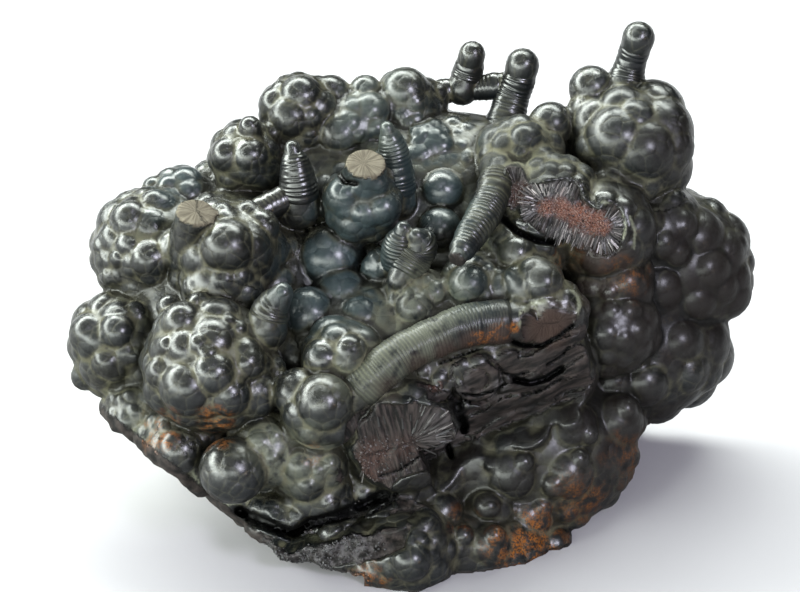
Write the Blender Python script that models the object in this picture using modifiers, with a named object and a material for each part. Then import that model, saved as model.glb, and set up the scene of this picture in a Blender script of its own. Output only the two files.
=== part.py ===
"""Goethite specimen: one grown mass of rounded "kidney ore" lumps and stubby stalactites.

The lumps are set out in a frame that leans back with the growth face: across to
the right, up the lean, and out of the face. All sizes in the tables are millimetres.
"""

import math
import random

import bmesh
import bpy
from mathutils import Matrix, Vector

NAME = "goethite_mass"
MM = 0.001
LEAN = math.radians(32)              # how far the growth face's frame leans back from upright
FACE_CENTRE = (-2.8, 1.1, 42.5)      # the frame's centre, from the middle of the flat base
GRID = 0.8                           # grid that grows the lumps together
SKIN_FACETS = 8900                   # facets left on the skin before the breaks are cut
LOBE_PROUD = 0.55                    # share of a lobe's radius that stands out of its knob
HIDDEN_LUMP = (4.5, 8.0)             # radius range of the lumps at the back and underneath
HIDDEN_SPACING = 5.5                 # rough spacing of those lumps
SEED = 5
BREAK_DEPTH = 12.0                   # how far a break's cutter stands out from its face
STONE_COLOUR = (0.035, 0.035, 0.036, 1)

# Inner body under the lumps: across, up, out, then its half widths along the same three.
CORE = (
    (2, 8, -16, 54, 30, 18),
    (-34, -4, -6, 25, 26, 16),
    (36, 4, -18, 30, 26, 17),
    (4, -14, 0, 36, 20, 17),
    (-12, -36, 0, 28, 14, 13),
    (18, -30, -8, 30, 20, 15),
    (46, -10, -18, 20, 16, 14),
    (6, -50, -4, 26, 12, 14),
    (2, -22, -24, 40, 18, 17),
    (-20, -18, -16, 26, 18, 16),
    (26, -14, -26, 26, 18, 17),
)

# Knobs of the growth face: across, up, out, radius; then the lobes on each: across, up, radius.
KNOBS = {
    "front_left": ((-37.4, -13.6, 13, 13.6), (
        (-42.6, -5.4, 4.4), (-45.6, -2.2, 2.6), (-39.4, -2, 2.9), (-39, -9.4, 2.5),
        (-37.4, -11.2, 2.5), (-45.4, -9.8, 2.3), (-41.4, -17.8, 5.8), (-36.4, -15, 4.6),
        (-33.6, -19, 4.6), (-29, -18.8, 5.4), (-30, -13, 3.6), (-26, -14.6, 3.7),
        (-33.6, -5.2, 1.8), (-31.6, -6.4, 1.9), (-26.6, -9.2, 2.9), (-46.6, -15, 3.4))),
    "front_ball": ((-32.8, -34.2, 19, 6.7), ()),
    "front_plate": ((-26, -30, 14, 8), ()),
    "second_ball": ((-15.6, -22.4, 19, 8), ((-20, -19, 5), (-15, -20.8, 5.8))),
    "dome": ((-11, -13, 14.5, 8.6), ((-15, -12.4, 4.2), (-9.8, -10.8, 3.4))),
    "curtain": ((-18, -33, 13, 8), ((-18, -37, 2.6), (-14, -33, 2.4))),
    "below_left": ((-43, -30, 6, 10), ((-43.5, -30.5, 5),)),
    # second knob, above the first
    "second": ((-34, 8.4, 6.4, 10.8), (
        (-34, 9.6, 5.8), (-35, 16.4, 2.2), (-30, 16.4, 2.6), (-27.6, 13.6, 3.8),
        (-44.6, 9.4, 4), (-42.4, 4, 3.8))),
    "second_belly": ((-35, 2.4, 9, 8.6), ()),
    # left edge
    "left": ((-49, 9, -5, 13), (
        (-49, 18.2, 3.2), (-53.6, 14.8, 4.5), (-57.4, 16.4, 2.4), (-55.8, 7.6, 2),
        (-53.4, 10, 2.2), (-57.6, 4.4, 2.6), (-49.6, 7.4, 4.6), (-59, 10, 2.6))),
    "left_ledge": ((-44, 17.5, -9, 8.5), ((-49.6, 21.8, 2.4),)),
    "lower_left": ((-54.5, -9.6, -2, 11.6), (
        (-56, -7.2, 4), (-61.6, -7.6, 4.4), (-63, -16, 3), (-57.6, -18.4, 1.9),
        (-52.6, -11.8, 1.8), (-50, -2, 4.4), (-58, -13, 3.4))),
    "lower_left_foot": ((-50, -24, 0, 10), ()),
    # upper left
    "head": ((-20, 36.6, -11, 8.4), (
        (-20, 40, 4.6), (-14, 40.6, 4.2), (-22, 36, 4.6), (-24.8, 38.6, 3.8),
        (-21, 31.4, 4.4), (-25, 34, 2.2))),
    "low_head": ((-31, 27.8, -5, 7.2), (
        (-34.4, 28.2, 3.8), (-30, 28, 3.8), (-33.4, 23.4, 3.8), (-27.6, 25.2, 4.2))),
    "upper_row": ((-9, 34, -11, 7.6), (
        (-12, 32.6, 5), (-7, 41.4, 3.4), (-6, 37.2, 4), (-5, 33.8, 2.8))),
    "top": ((1, 37.6, -15, 8), ((1, 41.4, 5), (7.5, 40.8, 2.8), (1.6, 34.6, 2.8))),
    # centre
    "centre_knob": ((-7.6, 18.4, 4, 7.8), ((-11, 20, 3.8), (-4.4, 22.2, 2.6), (-3.6, 17.6, 4))),
    "behind_centre": ((6, 29, -9, 6.4), ((3, 28, 2.6), (8.6, 27, 2.6))),
    "back_dome": ((8.5, 21, -1.5, 4.4), ()),
    "mid_dome": ((8, 13.4, 1.5, 4.4), ()),
    "hollow_knob": ((-14, 7.6, 1, 7.2), ()),
    "hollow_knob_low": ((-11.6, -0.4, 3.5, 6.8), ()),
    "hollow_knob_left": ((-18, -3.6, 8, 5.6), ()),
    "hollow_column": ((-23, 9, 2, 4.4), ()),
    "twin_foot": ((-3, 5.6, 5, 4.6), ()),
    "terrace_left": ((3, -1.6, 7, 7.6), ((2.8, -2.6, 4), (-1.4, -4.6, 2.6), (6.8, 0.6, 2.8))),
    "terrace_right": ((15, 0.6, 7, 8), ((13.6, 2.2, 4.2), (20, 1.4, 5), (10, -2.6, 2.8))),
    "ridge_ball": ((28, 2.6, 14.6, 4.4), ()),
    "ridge_ball_foot": ((26, 1.6, 11, 6.4), ()),
    "ridge_foot": ((30, -4, 10.5, 7.4), ()),
    # right
    "olive_dome": ((24, 26.6, -6, 9.6), ((20, 25.4, 4.2), (28, 26.4, 4), (25, 31, 3.6))),
    "right_ball": ((30.4, 34.6, -7, 4.6), ()),
    "shoulder": ((46.5, 30, -9, 12.4), (
        (39, 36.6, 5.6), (43.8, 29.4, 7), (51, 37, 6.8), (53.6, 30, 5.6),
        (38.6, 42, 4.6), (48, 23, 4.6), (45.6, 40.4, 4.4))),
    "break_left": ((30, 17.6, 0, 11), ()),
    "break_right": ((40, 13, -1.5, 11.4), ()),
    "break_foot": ((24, 8.6, 4, 8), ((23, 8.4, 3.8),)),
    "flank": ((51, 13, -12, 11), ((50, 4, 4), (55, 9, 3.6))),
    "right": ((56, 6, -20, 15.6), (
        (59, 11.4, 7), (65.6, 1, 6), (52.6, 18.6, 4.5), (53.6, -1.6, 5), (66.5, 9.6, 4.4))),
    "right_low": ((53, -9, -24, 14.6), ((57, -17, 4.6), (60, -8, 4.6))),
    "right_ledge": ((42, 2, -3, 9), ((42, -2.6, 3.6),)),
    # broken band below the ridge
    "band_left": ((14, -15, 8, 9), ()),
    "band_middle": ((28, -12, 5, 10), ()),
    "band_right": ((42, -6, -3, 10), ()),
    # front below the knobs
    "front_break": ((0, -26, 10, 13), ()),
    "front_wedge": ((-16, -39, 11, 7), ()),
    "lower_layer_left": ((-23, -46, 8, 8), ()),
    "lower_layer": ((-12, -47, 9, 7.6), ((-13, -47, 3.2),)),
    "lower_layer_right": ((-2, -46, 8, 8), ((-3.4, -45.6, 4.4),)),
    "front_foot": ((1, -50, 7, 10.4), ((2, -52, 4.4), (-6, -54, 4))),
    # lumps underneath on the right
    "under_1": ((42.5, -17, -7, 5), ()),
    "under_2": ((49, -17, -12, 5.4), ()),
    "under_3": ((34, -26, -5, 6.4), ()),
    "under_4": ((43, -25, -13, 6.4), ()),
    "under_5": ((25, -26, 1.5, 5.6), ()),
    "under_6": ((33, -35, -9, 6.4), ()),
    "under_7": ((17.5, -42.5, 1, 5.6), ()),
    "under_8": ((11, -49.6, 2, 5), ()),
    "under_9": ((25, -44, -6, 6), ()),
    "under_10": ((8, -43, 6, 4.6), ()),
    "under_11": ((22, -35, -1, 6), ()),
}

# Stalactites: each is a run of across, up, out, radius.
FINGERS = {
    "left_stub": ((-41.8, 8, 8, 4.4), (-40, 16.8, 16.6, 4)),
    "centre_stub": ((-7.6, 19, 5, 5.5), (-6.6, 26.6, 12.6, 3.9)),
    "curved": ((-20.4, 18, 3, 5), (-20.2, 21, 5, 4), (-20.6, 25, 6.5, 3.2), (-21.4, 29.4, 7.5, 1.9)),
    "side_rod": ((-30, 15.6, 7, 3), (-21, 20.4, 5, 2.8)),
    "small": ((-26.5, -6.4, 18, 4.8), (-25, -2.2, 19.5, 3.5), (-23, 0.6, 21.5, 2.4)),
    "broken_tip": ((-30, 28, -4, 3.6), (-30, 33.8, 0, 2.6)),
    "back_rod": ((6, 41.4, -16, 2.6), (14, 42, -16, 2.4), (22, 43, -15, 3)),
    "back_left": ((12.6, 42, -16, 3.6), (13.8, 45.6, -15, 3), (14.6, 49, -13, 3)),
    "back_right": ((20, 31, -13, 4.4), (22.6, 39.6, -14, 3.4), (24, 43.6, -13, 3.3), (24.8, 46.8, -12, 3.7)),
    "corner": ((45, 40, -9, 5), (46, 45, -9, 3.4), (46.8, 48, -8, 3.1), (48, 52, -6, 3.6)),
    "centre": ((-0.6, 19, 0, 4.4), (-0.8, 25, 3, 3.4), (-1.4, 29.4, 5, 2.8), (-2.6, 33.4, 7, 1.7)),
    "centre_tip": ((-4.6, 20, 8, 3), (-4.4, 22.4, 11.5, 2.4)),
    "twin_left": ((0, 5, 8, 3.6), (-0.4, 9.2, 11.5, 3.2), (0.6, 13.4, 14, 1.8)),
    "twin_right": ((-0.4, 3, 12, 2.6), (2.4, 7.6, 11.5, 3.8), (4, 10.4, 12.5, 3.2), (3.2, 12, 14.4, 1.8)),
    "long_ribbed": ((19.2, 24.6, 3, 2.8), (18.6, 20, 7, 3.4), (17.2, 15.6, 11, 3.8), (14.6, 11.4, 15.5, 3.2),
                    (11.6, 7.2, 19.5, 2.3)),
    "ridge": ((-10, -20, 20, 4.6), (-5, -15.6, 21, 4), (0, -11.6, 20.5, 4), (6, -8.6, 18.8, 4),
              (14, -5.6, 16.8, 4.2), (24, -5, 14.4, 4.6)),
}

# Flat breaks on the face: a point on each, the way it faces, the way it runs, half length, half width.
BREAKS = {
    "left_stub": ((-40, 16.8, 16), (0.15, 0.74, 0.66), (1, 0, 0), 5, 5),
    "centre_stub": ((-7.2, 26.4, 12.2), (0.09, 0.68, 0.72), (1, 0, 0), 5, 4.4),
    "ridge_end": ((29.4, -5.4, 17), (0.15, -0.5, 0.85), (1, 0.12, 0), 7, 5),
    "long_ribbed": ((11.4, 6.8, 20), (-0.4, -0.7, 0.6), (1, -0.5, 0), 4, 4),
    "shoulder": ((34.6, 15.4, 9), (0.1, 0.1, 0.99), (0.9, -0.44, 0), 13, 7.5),
    "front": ((-1, -29, 20), (0.15, -0.3, 0.94), (1, 0.1, 0), 12, 10),
    "band_top": ((27, -13.5, 12.6), (0.3, -0.45, 0.84), (0.92, 0.4, 0), 26, 4.5),
    "band_foot": ((29, -18, 8.5), (0.3, -0.75, 0.6), (0.92, 0.4, 0), 28, 6),
    "crust_crack": ((-14, -43, 8), (-0.1, -0.6, 0.8), (0.9, 0.3, 0), 22, 1.6),
    "layer_foot": ((-24, -52, 6), (-0.2, -0.97, 0), (1, -0.1, 0), 18, 20),
}

# Rough breaks right across the mass, where it came away: a point on each and the way it faces.
TRIMS = {
    "lower_left": ((-50, -33.5, 0), (-0.62, -0.78, 0.05)),
    "back": ((0, 8, -35), (0.05, 0.15, -1)),
    "right_back": ((60, 10, -36), (0.5, 0.1, -0.85)),
    "left_back": ((-50, 8, -20), (-0.6, 0.2, -0.77)),
}


def place(across, up, out):
    """World position, in metres, of a point given in the leaning frame."""
    y = up * math.sin(LEAN) - out * math.cos(LEAN)
    z = up * math.cos(LEAN) + out * math.sin(LEAN)
    return (Vector((across, y, z)) + Vector(FACE_CENTRE)) * MM


def facing(across, up, out):
    """World direction of a vector given in the leaning frame."""
    return (place(across, up, out) - place(0, 0, 0)).normalized()


def lobe_out(knob, across, up, radius):
    """How far out a lobe's centre lies for the lobe to stand proud of its knob."""
    sink = radius * (1 - LOBE_PROUD)
    reach = (knob[3] - sink) ** 2 - (across - knob[0]) ** 2 - (up - knob[1]) ** 2
    return knob[2] + math.sqrt(max(reach, 0.0))


def unit_ball():
    """A round ball of radius 1, copied for every lump."""
    bm = bmesh.new()
    bmesh.ops.create_icosphere(bm, subdivisions=4, radius=1)
    ball = bpy.data.meshes.new("ball")
    bm.to_mesh(ball)
    bm.free()
    return ball


def add_shaped_ball(bm, ball, matrix):
    """The unit ball, moved and stretched by the matrix, added to the lumps."""
    shaped = ball.copy()
    shaped.transform(matrix)
    bm.from_mesh(shaped)
    bpy.data.meshes.remove(shaped)


def add_ball(bm, ball, centre, radius):
    """A round lump, centred in world metres."""
    add_shaped_ball(bm, ball, Matrix.Translation(centre) @ Matrix.Scale(radius * MM, 4))


def add_core(bm, ball, across, up, out, half_across, half_up, half_out):
    """An ellipsoid of the inner body, leaning with the growth face."""
    turn = Matrix.Rotation(-LEAN, 4, "X")
    # the local axes are across, into the face, and up the lean
    size = Matrix.Diagonal((half_across * MM, half_out * MM, half_up * MM, 1))
    add_shaped_ball(bm, ball, Matrix.Translation(place(across, up, out)) @ turn @ size)


def add_finger(bm, ball, run):
    """A stalactite: round at each point of its run, tapering between them."""
    for start, end in zip(run, run[1:]):
        foot = place(*start[:3])
        tip = place(*end[:3])
        along = tip - foot
        turn = along.to_track_quat("Z", "Y").to_matrix().to_4x4()
        matrix = Matrix.Translation((foot + tip) / 2) @ turn
        bmesh.ops.create_cone(bm, cap_ends=True, segments=24, radius1=start[3] * MM,
                              radius2=end[3] * MM, depth=along.length, matrix=matrix)
    for across, up, out, radius in run:
        add_ball(bm, ball, place(across, up, out), radius)


def new_object(name, bm, collection):
    """An object in the collection from a finished bmesh."""
    mesh = bpy.data.meshes.new(name)
    bm.to_mesh(mesh)
    bm.free()
    obj = bpy.data.objects.new(name, mesh)
    collection.objects.link(obj)
    return obj


def add_hidden_lumps(bm, ball, rng):
    """Low lumps over the back and the underside of the inner body."""
    for across, up, out, half_across, half_up, half_out in CORE:
        for _ in range(int(half_across * half_up / HIDDEN_SPACING ** 2)):
            turn = rng.uniform(0, 2 * math.pi)
            depth = rng.uniform(0, 1) ** 0.5
            rim = math.sqrt(1 - depth * depth)
            way = Vector((rim * math.cos(turn), rim * math.sin(turn), -depth))
            spot = Vector((half_across * way.x, half_up * way.y, half_out * way.z))
            normal = Vector((way.x / half_across, way.y / half_up, way.z / half_out)).normalized()
            radius = rng.uniform(*HIDDEN_LUMP)
            spot += Vector((across, up, out)) - 0.5 * radius * normal
            add_ball(bm, ball, place(*spot), radius)


def grown_skin(obj):
    """The object's modifiers worked out: the lumps as one skin, without any inner pocket."""
    graph = bpy.context.evaluated_depsgraph_get()
    bm = bmesh.new()
    bm.from_mesh(obj.evaluated_get(graph).to_mesh())
    obj.modifiers.clear()
    keep_largest(bm)
    bm.to_mesh(obj.data)
    bm.free()


def keep_largest(bm):
    """Drop every loose piece but the one with the most faces."""
    left = set(bm.verts)
    pieces = []
    while left:
        queue = [left.pop()]
        piece = []
        while queue:
            vert = queue.pop()
            piece.append(vert)
            for edge in vert.link_edges:
                other = edge.other_vert(vert)
                if other in left:
                    left.remove(other)
                    queue.append(other)
        pieces.append(piece)
    pieces.sort(key=len)
    for piece in pieces[:-1]:
        bmesh.ops.delete(bm, geom=piece, context="VERTS")


def add_break_cutter(collection, name, point, normal, along, half_length, half_width):
    """A block whose lower face is the flat break; the block stands outwards from it."""
    bm = bmesh.new()
    outward = facing(*normal)
    side = outward.cross(facing(*along)).normalized()
    turn = Matrix((side.cross(outward), side, outward)).transposed().to_4x4()
    size = Matrix.Diagonal((2 * half_length * MM, 2 * half_width * MM, BREAK_DEPTH * MM, 1))
    centre = place(*point) + outward * BREAK_DEPTH * MM / 2
    bmesh.ops.create_cube(bm, size=1, matrix=Matrix.Translation(centre) @ turn @ size)
    cutter = new_object("cutter_" + name, bm, collection)
    cutter.hide_render = True
    cutter.display_type = "WIRE"
    return cutter


def trim(obj, point, normal):
    """Cut the object flat across a plane and close the cut."""
    bm = bmesh.new()
    bm.from_mesh(obj.data)
    cut = bmesh.ops.bisect_plane(bm, geom=bm.verts[:] + bm.edges[:] + bm.faces[:], dist=1e-7,
                                 plane_co=point, plane_no=normal, clear_outer=True)
    rim = [item for item in cut["geom_cut"] if isinstance(item, bmesh.types.BMEdge)]
    bmesh.ops.triangle_fill(bm, edges=rim, use_beauty=True, use_dissolve=False)
    bm.to_mesh(obj.data)
    bm.free()


def stone_material():
    """Dark submetallic goethite."""
    material = bpy.data.materials.new("goethite")
    material.use_nodes = True
    shader = material.node_tree.nodes["Principled BSDF"]
    shader.inputs["Base Color"].default_value = STONE_COLOUR
    shader.inputs["Roughness"].default_value = 0.35
    shader.inputs["Metallic"].default_value = 0.3
    return material


def main():
    for obj in list(bpy.data.objects):
        bpy.data.objects.remove(obj)
    specimen = bpy.data.collections.new("Goethite specimen")
    cutters = bpy.data.collections.new("Cutters")
    bpy.context.scene.collection.children.link(specimen)
    bpy.context.scene.collection.children.link(cutters)
    bm = bmesh.new()
    ball = unit_ball()
    for core in CORE:
        add_core(bm, ball, *core)
    for knob, lobes in KNOBS.values():
        add_ball(bm, ball, place(*knob[:3]), knob[3])
        for across, up, radius in lobes:
            add_ball(bm, ball, place(across, up, lobe_out(knob, across, up, radius)), radius)
    for run in FINGERS.values():
        add_finger(bm, ball, run)
    add_hidden_lumps(bm, ball, random.Random(SEED))
    obj = new_object(NAME, bm, specimen)
    obj.data.materials.append(stone_material())
    remesh = obj.modifiers.new("Grow together", "REMESH")
    remesh.mode = "VOXEL"
    remesh.voxel_size = GRID * MM
    grown_skin(obj)
    for point, normal in TRIMS.values():
        trim(obj, place(*point), facing(*normal))
    thin = obj.modifiers.new("Facets", "DECIMATE")
    thin.ratio = SKIN_FACETS / sum(len(face.vertices) - 2 for face in obj.data.polygons)
    thin.use_collapse_triangulate = True
    grown_skin(obj)
    trim(obj, Vector((0, 0, 0)), Vector((0, 0, -1)))
    for name, flat in BREAKS.items():
        cutter = add_break_cutter(cutters, name, *flat)
        cut = obj.modifiers.new("Break " + name, "BOOLEAN")
        cut.operation = "DIFFERENCE"
        cut.solver = "EXACT"
        cut.object = cutter
    obj.data.shade_smooth()
    obj.data.set_sharp_from_angle(angle=math.radians(50))


main()
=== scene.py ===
"""Goethite specimen: grows the lumpy, broken and ribbed surface of the stone around its CAD solid.

The lumps are set out in a frame that leans back with the growth face: across to the right, up the
lean, and out of the face. Sizes in the tables are millimetres, and the stone is worked in millimetres
until its mesh is made.
"""

import math
import random

import bmesh
import bpy
import numpy as np
from bpy.props import FloatProperty, FloatVectorProperty, IntProperty, PointerProperty
from mathutils import Matrix, Vector


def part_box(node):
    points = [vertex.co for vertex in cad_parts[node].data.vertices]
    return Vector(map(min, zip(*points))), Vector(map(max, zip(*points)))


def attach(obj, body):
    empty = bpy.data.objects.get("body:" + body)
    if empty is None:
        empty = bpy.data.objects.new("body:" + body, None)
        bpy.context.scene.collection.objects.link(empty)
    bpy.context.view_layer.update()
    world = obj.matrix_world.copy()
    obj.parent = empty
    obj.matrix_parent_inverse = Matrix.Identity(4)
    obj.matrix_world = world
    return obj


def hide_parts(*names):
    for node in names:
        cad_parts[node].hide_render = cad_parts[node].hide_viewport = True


bl_info = {
    "name": "Goethite specimen",
    "version": (1, 0, 0),
    "blender": (4, 5, 0),
    "location": "3D View > Sidebar > Goethite",
    "description": "Grows a botryoidal goethite specimen with stalactites and broken faces",
    "category": "Add Mesh",
}

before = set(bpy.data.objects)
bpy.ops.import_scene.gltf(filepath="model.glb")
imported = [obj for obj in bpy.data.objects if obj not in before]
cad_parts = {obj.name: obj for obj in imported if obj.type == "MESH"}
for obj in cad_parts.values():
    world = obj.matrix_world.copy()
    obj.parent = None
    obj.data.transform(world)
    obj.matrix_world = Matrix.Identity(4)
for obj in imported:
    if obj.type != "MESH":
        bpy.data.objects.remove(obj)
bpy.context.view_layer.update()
NODE = "goethite_mass"
STONE_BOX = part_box(NODE)

MM = 0.001
LEAN = math.radians(32)              # how far the growth face's frame leans back from upright
FACE_CENTRE = (-2.8, 1.1, 42.5)      # the frame's centre, from the middle of the flat base
SEED = 5
FAR = 2.4                            # distances are kept only this close to the surface
SOFTNESS = 0.3                       # how far the crease between two lumps is filled
CORE_SOFTNESS = 1.0                  # and between the solids of the inner body
DOME_SOFTNESS = 0.12                 # and round a small dome
LATTICE_SHIFT = 7.3                  # keeps each size of unevenness from lining up with the last

# Inner body under the lumps: across, up, out, then its half widths along the same three.
CORE = (
    (2, 8, -16, 54, 30, 18),
    (-34, -4, -6, 25, 26, 16),
    (36, 4, -18, 30, 26, 17),
    (4, -14, 0, 36, 20, 17),
    (-12, -36, 0, 28, 14, 13),
    (18, -30, -8, 30, 20, 15),
    (46, -10, -18, 20, 16, 14),
    (6, -50, -4, 26, 12, 14),
    (2, -22, -24, 40, 18, 17),
    (-20, -18, -16, 26, 18, 16),
    (26, -14, -26, 26, 18, 17),
)

# Knobs of the growth face: across, up, out, radius; then the lobes on each: across, up, radius.
KNOBS = {
    "front_left": ((-37.4, -13.6, 13, 13.6), (
        (-42.6, -5.4, 4.4), (-45.6, -2.2, 2.6), (-39.4, -2, 2.9), (-39, -9.4, 2.5),
        (-37.4, -11.2, 2.5), (-45.4, -9.8, 2.3), (-41.4, -17.8, 5.8), (-36.4, -15, 4.6),
        (-33.6, -19, 4.6), (-29, -18.8, 5.4), (-30, -13, 3.6), (-26, -14.6, 3.7),
        (-33.6, -5.2, 1.8), (-31.6, -6.4, 1.9), (-26.6, -9.2, 2.9), (-46.6, -15, 3.4))),
    "front_ball": ((-32.8, -34.2, 19, 6.7), ()),
    "front_plate": ((-26, -30, 14, 8), ()),
    "second_ball": ((-15.6, -22.4, 19, 8), ((-20, -19, 5), (-15, -20.8, 5.8))),
    "dome": ((-11, -13, 14.5, 8.6), ((-15, -12.4, 4.2), (-9.8, -10.8, 3.4))),
    "curtain": ((-18, -33, 13, 8), ((-18, -37, 2.6), (-14, -33, 2.4))),
    "below_left": ((-43, -30, 6, 10), ((-43.5, -30.5, 5),)),
    # second knob, above the first
    "second": ((-34, 8.4, 6.4, 10.8), (
        (-34, 9.6, 5.8), (-35, 16.4, 2.2), (-30, 16.4, 2.6), (-27.6, 13.6, 3.8),
        (-44.6, 9.4, 4), (-42.4, 4, 3.8))),
    "second_belly": ((-35, 2.4, 9, 8.6), ()),
    # left edge
    "left": ((-49, 9, -5, 13), (
        (-49, 18.2, 3.2), (-53.6, 14.8, 4.5), (-57.4, 16.4, 2.4), (-55.8, 7.6, 2),
        (-53.4, 10, 2.2), (-57.6, 4.4, 2.6), (-49.6, 7.4, 4.6), (-59, 10, 2.6))),
    "left_ledge": ((-44, 17.5, -9, 8.5), ((-49.6, 21.8, 2.4),)),
    "lower_left": ((-54.5, -9.6, -2, 11.6), (
        (-56, -7.2, 4), (-61.6, -7.6, 4.4), (-63, -16, 3), (-57.6, -18.4, 1.9),
        (-52.6, -11.8, 1.8), (-50, -2, 4.4), (-58, -13, 3.4))),
    "lower_left_foot": ((-50, -24, 0, 10), ()),
    # upper left
    "head": ((-20, 36.6, -11, 8.4), (
        (-20, 40, 4.6), (-14, 40.6, 4.2), (-22, 36, 4.6), (-24.8, 38.6, 3.8),
        (-21, 31.4, 4.4), (-25, 34, 2.2))),
    "low_head": ((-31, 27.8, -5, 7.2), (
        (-34.4, 28.2, 3.8), (-30, 28, 3.8), (-33.4, 23.4, 3.8), (-27.6, 25.2, 4.2))),
    "upper_row": ((-9, 34, -11, 7.6), (
        (-12, 32.6, 5), (-7, 41.4, 3.4), (-6, 37.2, 4), (-5, 33.8, 2.8))),
    "top": ((1, 37.6, -15, 8), ((1, 41.4, 5), (7.5, 40.8, 2.8), (1.6, 34.6, 2.8))),
    # centre
    "centre_knob": ((-7.6, 18.4, 4, 7.8), (
        (-11, 20, 3.8), (-4.4, 22.2, 2.6), (-3.6, 17.6, 4), (-6.6, 21.4, 1.9))),
    "behind_centre": ((6, 29, -9, 6.4), ((3, 28, 2.6), (8.6, 27, 2.6))),
    "back_dome": ((8.5, 21, -1.5, 4.4), ()),
    "mid_dome": ((8, 13.4, 1.5, 4.4), ()),
    "hollow_knob": ((-14, 7.6, 1, 7.2), ()),
    "hollow_knob_low": ((-11.6, -0.4, 3.5, 6.8), ()),
    "hollow_knob_left": ((-18, -3.6, 8, 5.6), ()),
    "hollow_column": ((-23, 9, 2, 4.4), ()),
    "twin_foot": ((-3, 5.6, 5, 4.6), ()),
    "terrace_left": ((3, -1.6, 7, 7.6), ((2.8, -2.6, 4), (-1.4, -4.6, 2.6), (6.8, 0.6, 2.8))),
    "terrace_right": ((15, 0.6, 7, 8), ((13.6, 2.2, 4.2), (20, 1.4, 5), (10, -2.6, 2.8))),
    "ridge_ball": ((28, 2.6, 14.6, 4.4), ()),
    "ridge_ball_foot": ((26, 1.6, 11, 6.4), ()),
    "ridge_foot": ((30, -4, 10.5, 7.4), ()),
    # right
    "olive_dome": ((24, 26.6, -6, 9.6), ((20, 25.4, 4.2), (28, 26.4, 4), (25, 31, 3.6))),
    "right_ball": ((30.4, 34.6, -7, 4.6), ()),
    "shoulder": ((46.5, 30, -9, 12.4), (
        (39, 36.6, 5.6), (43.8, 31.6, 7), (51, 37, 6.8), (53.6, 30, 5.6),
        (38.6, 42, 4.6), (48, 23, 4.6), (45.6, 40.4, 4.4))),
    "break_root": ((22.8, 21.6, 3.5, 5.2), ()),
    "break_left": ((30, 17.6, 0, 11), ()),
    "break_right": ((40, 13, -1.5, 11.4), ()),
    "break_foot": ((24, 8.6, 4, 8), ((23, 8.4, 3.8),)),
    "flank": ((51, 13, -12, 11), ((50, 4, 4), (55, 9, 3.6))),
    "right": ((56, 6, -20, 15.6), (
        (59, 11.4, 7), (65.6, 1, 6), (52.6, 18.6, 4.5), (53.6, -1.6, 5), (66.5, 9.6, 4.4))),
    "right_low": ((53, -9, -24, 14.6), ((57, -17, 4.6), (60, -8, 4.6))),
    "right_ledge": ((42, 2, -3, 9), ((42, -2.6, 3.6),)),
    # broken band below the ridge
    "band_left": ((14, -15, 8, 9), ()),
    "band_middle": ((28, -12, 5, 10), ()),
    "band_right": ((42, -6, -3, 10), ()),
    # front below the knobs
    "front_break": ((0, -26, 10, 13), ()),
    "front_wedge": ((-16, -39, 11, 7), ()),
    "lower_layer_left": ((-23, -46, 8, 8), ()),
    "lower_layer": ((-12, -47, 9, 7.6), ((-13, -47, 3.2),)),
    "lower_layer_right": ((-2, -46, 8, 8), ((-3.4, -45.6, 4.4),)),
    "front_foot": ((1, -50, 7, 10.4), ((2, -52, 4.4), (-6, -54, 4))),
    # lumps underneath on the right
    "under_1": ((42.5, -17, -7, 5), ()),
    "under_2": ((49, -17, -8.5, 5.4), ()),
    "under_3": ((34, -26, 1, 5.6), ((33.6, -24.6, 2.8), (37.4, -27.6, 2.2))),
    "under_4": ((43, -25, -4.6, 6), ((45, -22.6, 2.6),)),
    "under_5": ((25, -26, 5.6, 5), ((22.6, -25.4, 2.6),)),
    "under_6": ((33, -35, 0.4, 6), ((35.4, -32.4, 2.4), (30.6, -37.4, 2.8))),
    "under_7": ((17.5, -42.5, 2, 5.6), ((17.4, -41.8, 2.8),)),
    "under_8": ((11, -49.6, 5.6, 5), ((12.4, -47.6, 2.4),)),
    "under_9": ((25, -44, -1.4, 6), ((22.4, -42.6, 2.2), (28, -42, 2.6))),
    "under_10": ((8, -43, 6, 4.6), ()),
    "under_12": ((17.4, -49.4, 5.4, 4.8), ((18.6, -47.6, 2.4),)),
    "under_11": ((22, -35, 2.6, 6), ((24.4, -33, 2.4), (18.6, -33.4, 2.2))),
}
LOBE_PROUD = 0.55                    # share of a lobe's radius that stands out of its knob
LOW_LOBES = {                        # knobs whose lobes stand out less
    "shoulder": 0.28, "right": 0.28, "right_low": 0.3, "flank": 0.3, "head": 0.42, "low_head": 0.42,
    "upper_row": 0.45, "top": 0.45, "left": 0.48,
}

# Knobs that stay smooth, without small domes, and the spacing of the domes on the others.
SMOOTH_KNOBS = {
    "front_ball", "ridge_ball", "back_dome", "mid_dome", "right_ball", "hollow_knob_low", "hollow_knob",
    "hollow_knob_left", "hollow_column", *(name for name in KNOBS if name.startswith("under_")),
}
DOME_SPACING = {
    "right": 7.0, "right_low": 7.0, "flank": 5.5, "right_ledge": 4.5, "break_right": 5.0,
    "front_left": 5.4, "second": 5.8, "left": 4, "lower_left": 5, "lower_left_foot": 2.6,
    "head": 3.8, "low_head": 4.4, "upper_row": 2.8, "top": 3.2, "shoulder": 7.5, "terrace_left": 2.2,
    "terrace_right": 2.8, "olive_dome": 3.6, "dome": 6, "second_ball": 5, "behind_centre": 2.6,
}
PLAIN_SPACING = 4.0                  # dome spacing where the table names none
DOME_RANGE = (0.7, 1.45)             # how a dome's own spacing varies, as a share of that
DOME_SHARE = 0.8                     # a dome's widest spacing, as a share of its lump's radius
SMALLEST_DOME = 1.1                  # and the closest spacing that still gets a dome
DOME_RISE = 0.17                     # how high a dome stands, as a share of its spacing
DOME_REACH = 0.62                    # half its width, as a share of its spacing

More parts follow.
